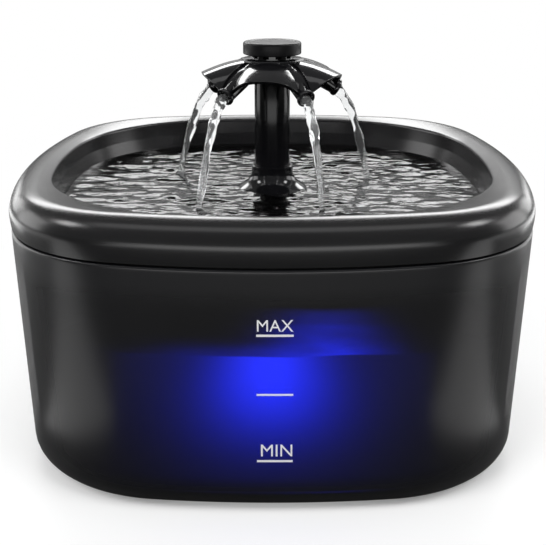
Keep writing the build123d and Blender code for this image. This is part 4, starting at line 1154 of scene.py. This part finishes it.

# %% [markdown]
# ## Water in the tank and its blue glow
# Lights on the pump shine blue into the water behind the front wall. Their light is painted into the
# water: its finish gives off a painted glow by place, brightest just under the surface and fading
# downwards and sideways, with bell curves across and down. The waves on the water's top carry a weaker patch
# of the painted glow backwards.

# %% Glowing water
TANK_WATER = 59.6
WALL_LEAN = 0.0451
WALL_FRONT = 92.6
WALL_BOW = 670
# painted glow: the water's finish gives off the blue light of the pump's lamps, set by place
GLOW_BLUE = (0.013, 0.026, 1.0)
GLOW_STRENGTH = 16.0
glow = Finish("lit_water")
across, along, above = (glow.axis(letter) * 1000 for letter in "XYZ")
depth = TANK_WATER - above
behind = along + above * WALL_LEAN + WALL_FRONT - across * across / WALL_BOW
front = glow.node("MapRange", {}, {0: behind, 1: 1.6, 2: 0.7, 3: 0.0, 4: 1.0})
core = ((across + 0.6) / (depth * 0.2 + 15)).falloff() * ((depth - 4) / 21).falloff()
halo = ((across + 0.6) / 37).falloff() * ((depth - 4) / 34).falloff()
body_glow = front * (core * 0.9 + halo * 0.13)
waves = glow.grain(0.011, 3.0, (0.6, 1, 1)) * 1.3 + 0.35
patch = ((across - 18) / 15).falloff() * (1 - behind / 46).clipped() * 0.55
shore_glow = ((across + 2) / 27).falloff() * (behind / 9).falloff() * 0.2
top_glow = (1 - front) * (patch + shore_glow) * waves
lit_water = glow.principled({
    "Base Color": glow.blend(glow.grain(0.02), (0.002, 0.002, 0.004), (0.004, 0.004, 0.008)),
    "Roughness": 0.06,
    "IOR": 1.33,
    "Emission Color": glow.blend((body_glow + top_glow).clipped(), (0.0, 0.0, 0.0), GLOW_BLUE),
    "Emission Strength": GLOW_STRENGTH,
})
print("glow ready, water at", TANK_WATER, "mm")

# %% Tank water
WATER_LOW = 4.1
WATER_GAP = TANK_WALL + 0.3
WATER_STEPS = 60
water_edge = tank_plan(TANK_WATER, WATER_GAP + 0.05)
water_rings = rounds([(15, WATER_LOW), (60, WATER_LOW)]) + base_rings(WATER_GAP, WATER_LOW, 6.0)
water_rings += wall_rings([(WATER_GAP, height) for height in (20, 32, 44, 52, 57, 59.2)])
for step in range(WATER_STEPS):
    water_rings.append((between(water_edge, round_plan(4), step / WATER_STEPS), TANK_WATER))
tank_water = grow_rings("tank_water", water_rings, 240)
close_ends(tank_water, (WATER_LOW, TANK_WATER))
for point in tank_water.data.vertices:
    if point.co.z > (TANK_WATER - 0.1) * MM:
        place = Vector((point.co.x / 0.022, point.co.y / 0.012, 0.4))
        point.co.z += 1.1 * MM * noise.noise(place)
smooth(tank_water, 50)
dress(tank_water, lit_water, "tank")

# %% [markdown]
# ## Level marks
# Two words and three short lines tell how full the tank is. They are printed in white on the
# front. Text starts as a curve, so it is turned into a mesh before it is put in place, and then
# every point is laid onto the leaning front wall.

# %% Marks
PRINT_PROUD = 0.06
LETTER_WIDTH = 0.95
LINE_LEFT, LINE_RIGHT = -5.2, 7.0
ink = surface("mark_white", (0.92, 0.92, 0.92), (0.96, 0.96, 0.96), (0.4, 0.5), 0.004, (0.0003, 0.000004))


def lay_on_front(piece):
    """Stands a flat mesh up and presses it onto the tank's front wall."""
    for point in piece.data.vertices:
        x, height = point.co.x, point.co.y
        lift = PRINT_PROUD * MM if point.co.z > 0 else 0.0
        front = tank_plan(height / MM)
        reach = front(atan2(-front(-pi / 2), x))
        point.co = (x, -sqrt(max(reach * reach - x * x, 0)) - lift, height)


def word(name, text, low, high, middle):
    """A word between two heights, in millimetres."""
    deselect()
    bpy.ops.object.text_add()
    bpy.context.object.data.body = text
    bpy.context.object.data.extrude = 0.01
    bpy.context.object.data.align_x = "CENTER"
    bpy.ops.object.convert(target="MESH")
    made = bpy.context.object
    made.name = name
    tops = [point.co.y for point in made.data.vertices]
    size = (high - low) * MM / (max(tops) - min(tops))
    for point in made.data.vertices:
        point.co.x = point.co.x * size * LETTER_WIDTH + middle * MM
        point.co.y = (point.co.y - min(tops)) * size + low * MM
    lay_on_front(made)
    return made


def dash(name, middle, thick):
    """A level line, divided so that it follows the bowed wall."""
    deselect()
    bpy.ops.mesh.primitive_cube_add(size=1)
    made = bpy.context.object
    made.name = name
    edit_all()
    bpy.ops.mesh.subdivide(number_cuts=5)
    bpy.ops.object.mode_set(mode="OBJECT")
    for point in made.data.vertices:
        point.co.x = (LINE_LEFT + (point.co.x + 0.5) * (LINE_RIGHT - LINE_LEFT)) * MM
        point.co.y = (middle + point.co.y * thick) * MM
    lay_on_front(made)
    return made


MARKS = [
    word("mark_max", "MAX", 70.6, 74.7, 0.75),
    dash("line_max", 69.1, 0.8),
    dash("line_middle", 47.4, 0.7),
    word("mark_min", "MIN", 23.7, 28.3, 1.5),
    dash("line_min", 21.8, 0.8),
]
for mark in MARKS:
    dress(mark, ink, "tank")

# %% [markdown]
# ## The filter pouch
# The cartridge holds a ring of white filter cloth filled with carbon grains. A plain ring looks
# hard, so a slightly smaller ring is blown up by a cloth simulation: its faces swell between the
# inner and the outer seam. Fine puckers are added afterwards, strongest beside the seams.

# %% Filter pouch
pouch_low, pouch_high = (Vector(corner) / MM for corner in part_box("filter_pouch"))
POUCH_OUTER = pouch_high.x
POUCH_INNER = 13.2
POUCH_SLACK = 1.0
PUCKERS = 46
woven = Finish("filter_cloth_woven")
rings = {"wave_type": "RINGS", "rings_direction": "Z"}
weave_across = woven.node("TexWave", rings, {"Vector": woven.place(), "Scale": 900.0}, "Fac")
weave_round = woven.grain(0.0007, 2.0)
filter_felt = woven.principled({
    "Base Color": woven.blend(woven.grain(0.004), (0.62, 0.62, 0.60), (0.80, 0.80, 0.78)),
    "Roughness": weave_round * 0.1 + 0.85,
    "Normal": woven.raised(weave_across * 0.5 + weave_round, 0.00012),
})


def pouch_section(steps):
    """The ring's section as a flat lens, from the inner seam over the top to the outer seam and back."""
    middle = (pouch_low.z + pouch_high.z) / 2
    thick = (pouch_high.z - pouch_low.z) / 2 - POUCH_SLACK
    span = POUCH_OUTER - POUCH_INNER - POUCH_SLACK
    over = [(step / steps, 1) for step in range(steps)]
    back = [(1 - step / steps, -1) for step in range(steps)]
    points = []
    for share, side in over + back:
        rise = thick * min(1.0, 2.6 * sin(pi * share)) ** 0.6
        points.append((POUCH_INNER + POUCH_SLACK / 2 + span * share, middle + rise * side))
    return points


def swell(piece, pressure, frames, most):
    """Blows a closed piece up as cloth, holds each point to a greatest movement and applies it."""
    before = [point.co.copy() for point in piece.data.vertices]
    pick(piece)
    fabric = piece.modifiers.new("cloth", "CLOTH")
    fabric.settings.use_pressure = True
    fabric.settings.uniform_pressure_force = pressure
    fabric.settings.effector_weights.gravity = 0
    fabric.settings.quality = 6
    scene = bpy.context.scene
    for frame_number in range(1, frames + 1):
        scene.frame_set(frame_number)
    bpy.ops.object.modifier_apply(modifier="cloth")
    scene.frame_set(1)
    for point, start in zip(piece.data.vertices, before):
        move = point.co - start
        if move.length > most:
            point.co = start + move.normalized() * most


def keep_inside(piece, low, high, inner, outer):
    """Presses a piece back into the ring that holds it, in millimetres."""
    for point in piece.data.vertices:
        reach = hypot(point.co.x, point.co.y)
        wanted = min(max(reach, inner * MM), outer * MM)
        point.co.x *= wanted / reach
        point.co.y *= wanted / reach
        point.co.z = min(max(point.co.z, low * MM), high * MM)


filter_pad = turned("filter_pad", pouch_section(18), 160)
swell(filter_pad, 4.0, 20, 1.2 * MM)
for point in filter_pad.data.vertices:
    reach = hypot(point.co.x, point.co.y) / MM
    turn = atan2(point.co.y, point.co.x)
    edge = min(reach - POUCH_INNER, POUCH_OUTER - reach)
    pucker = exp(-max(edge, 0) / 4.0) * 0.35 * sin(PUCKERS * turn + 2 * noise.noise(point.co * 60))
    outwards = 1 if point.co.z > (pouch_low.z + 4.5) * MM else -1
    point.co.z += (pucker + 0.3 * noise.noise(point.co * 140)) * MM * outwards
keep_inside(filter_pad, pouch_low.z + 0.05, pouch_high.z - 0.05, POUCH_INNER, POUCH_OUTER - 0.1)
smooth(filter_pad, 80)
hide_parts("filter_pouch")
dress(filter_pad, filter_felt, "filter")

# %% [markdown]
# ## The prefilter sponge
# Open foam is a block with soft, slightly uneven faces and a coarse, pitted skin. A cube is
# bevelled and divided, its points are drawn in unevenly, and the pits are a bump from a texture of
# cells. The same cells paint shade into the colour, darker towards each pit's middle.

# %% Prefilter sponge
SPONGE_ROUND = 1.4
SPONGE_SHRINK = 0.35
pores = Finish("foam_pores")
cell_sockets = {"Vector": pores.place(), "Scale": 900.0}
pit_depth_and_shade = pores.node("TexVoronoi", {"feature": "F1"}, cell_sockets, "Distance")
# painted shade: the base colour darkens towards each pit's middle, where the pores would lie in shade
foam_skin = pores.principled({
    "Base Color": pores.blend(pit_depth_and_shade, (0.006, 0.006, 0.007), (0.05, 0.05, 0.052)),
    "Roughness": pit_depth_and_shade * 0.1 + 0.85,
    "Normal": pores.raised(pit_depth_and_shade, 0.0006),
})
sponge_low, sponge_high = (Vector(corner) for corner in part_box("prefilter_sponge"))
sponge_middle = (sponge_low + sponge_high) / 2
deselect()
bpy.ops.mesh.primitive_cube_add(size=1, location=sponge_middle, scale=sponge_high - sponge_low)
sponge = bpy.context.object
sponge.name = "sponge_block"
bpy.ops.object.transform_apply(location=True, scale=True)
soften(sponge, SPONGE_ROUND, 4, 30)
edit_all()
bpy.ops.mesh.subdivide(number_cuts=9)
bpy.ops.object.mode_set(mode="OBJECT")
for point in sponge.data.vertices:
    pull = SPONGE_SHRINK * MM * (1 + noise.noise(point.co * 160))
    point.co += (sponge_middle - point.co).normalized() * pull
smooth(sponge, 80)
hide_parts("prefilter_sponge")
dress(sponge, foam_skin, "intake_cover")

# %% [markdown]
# ## Finishes of the inner pieces
# Each inner piece keeps its measured solid and gets the surface of its own material. The table
# gives two colours, two gloss levels, the size of the spots and the size and depth of the bump.

# %% Inner finishes
METAL = {"Metallic": 1.0}
SHINING = {"Emission Color": (0.03, 0.08, 1.0), "Emission Strength": 6.0}
SEE_THROUGH = {"Alpha": 0.35}
INNER = {
    "pump_black": ((0.010, 0.010, 0.011), (0.018, 0.018, 0.019), (0.42, 0.52), 0.01, (0.0006, 0.00002)),
    "soft_grey": ((0.16, 0.16, 0.165), (0.22, 0.22, 0.22), (0.6, 0.75), 0.008, (0.0008, 0.00003)),
    "soft_black": ((0.012, 0.012, 0.012), (0.025, 0.025, 0.025), (0.6, 0.75), 0.008, (0.0008, 0.00003)),
    "filter_plastic": ((0.72, 0.73, 0.74), (0.8, 0.8, 0.8), (0.35, 0.45), 0.01, (0.0006, 0.00001)),
    "filter_cloth": ((0.62, 0.62, 0.6), (0.82, 0.82, 0.8), (0.85, 0.95), 0.0012, (0.0005, 0.0002)),
    "foam": ((0.01, 0.01, 0.01), (0.05, 0.05, 0.05), (0.85, 0.95), 0.0012, (0.0009, 0.0004)),
    "core_steel": ((0.35, 0.35, 0.36), (0.5, 0.5, 0.5), (0.35, 0.5), 0.003, (0.0005, 0.00003), METAL),
    "copper_wire": ((0.6, 0.22, 0.08), (0.75, 0.32, 0.14), (0.25, 0.35), 0.002, (0.0004, 0.0001), METAL),
    "magnet_grey": ((0.05, 0.05, 0.055), (0.08, 0.08, 0.085), (0.45, 0.6), 0.002, (0.0004, 0.00003)),
    "ceramic": ((0.75, 0.74, 0.7), (0.82, 0.81, 0.78), (0.15, 0.25), 0.003, (0.0004, 0.000005)),
    "bobbin_plastic": ((0.5, 0.47, 0.4), (0.6, 0.57, 0.5), (0.45, 0.55), 0.004, (0.0006, 0.00001)),
    "resin": ((0.01, 0.01, 0.012), (0.02, 0.02, 0.022), (0.2, 0.35), 0.004, (0.002, 0.00004)),
    "board_green": ((0.0, 0.10, 0.03), (0.0, 0.14, 0.05), (0.35, 0.45), 0.002, (0.0005, 0.00002)),
    "led_blue": ((0.1, 0.2, 0.9), (0.15, 0.3, 1.0), (0.1, 0.2), 0.001, (0.0004, 0.00001), SHINING),
    "clear_window": ((0.5, 0.55, 0.6), (0.6, 0.65, 0.7), (0.08, 0.12), 0.004, (0.002, 0.00001), SEE_THROUGH),
}
finishes = {slot: surface(slot, *looks) for slot, looks in INNER.items()}
finishes.update(black_gloss=black_gloss, smoked_clear=smoked_clear)
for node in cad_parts.values():
    slot = node.data.materials[0].name.split(".")[0]
    node.data.materials.clear()
    node.data.materials.append(finishes[slot])
print("inner pieces finished")
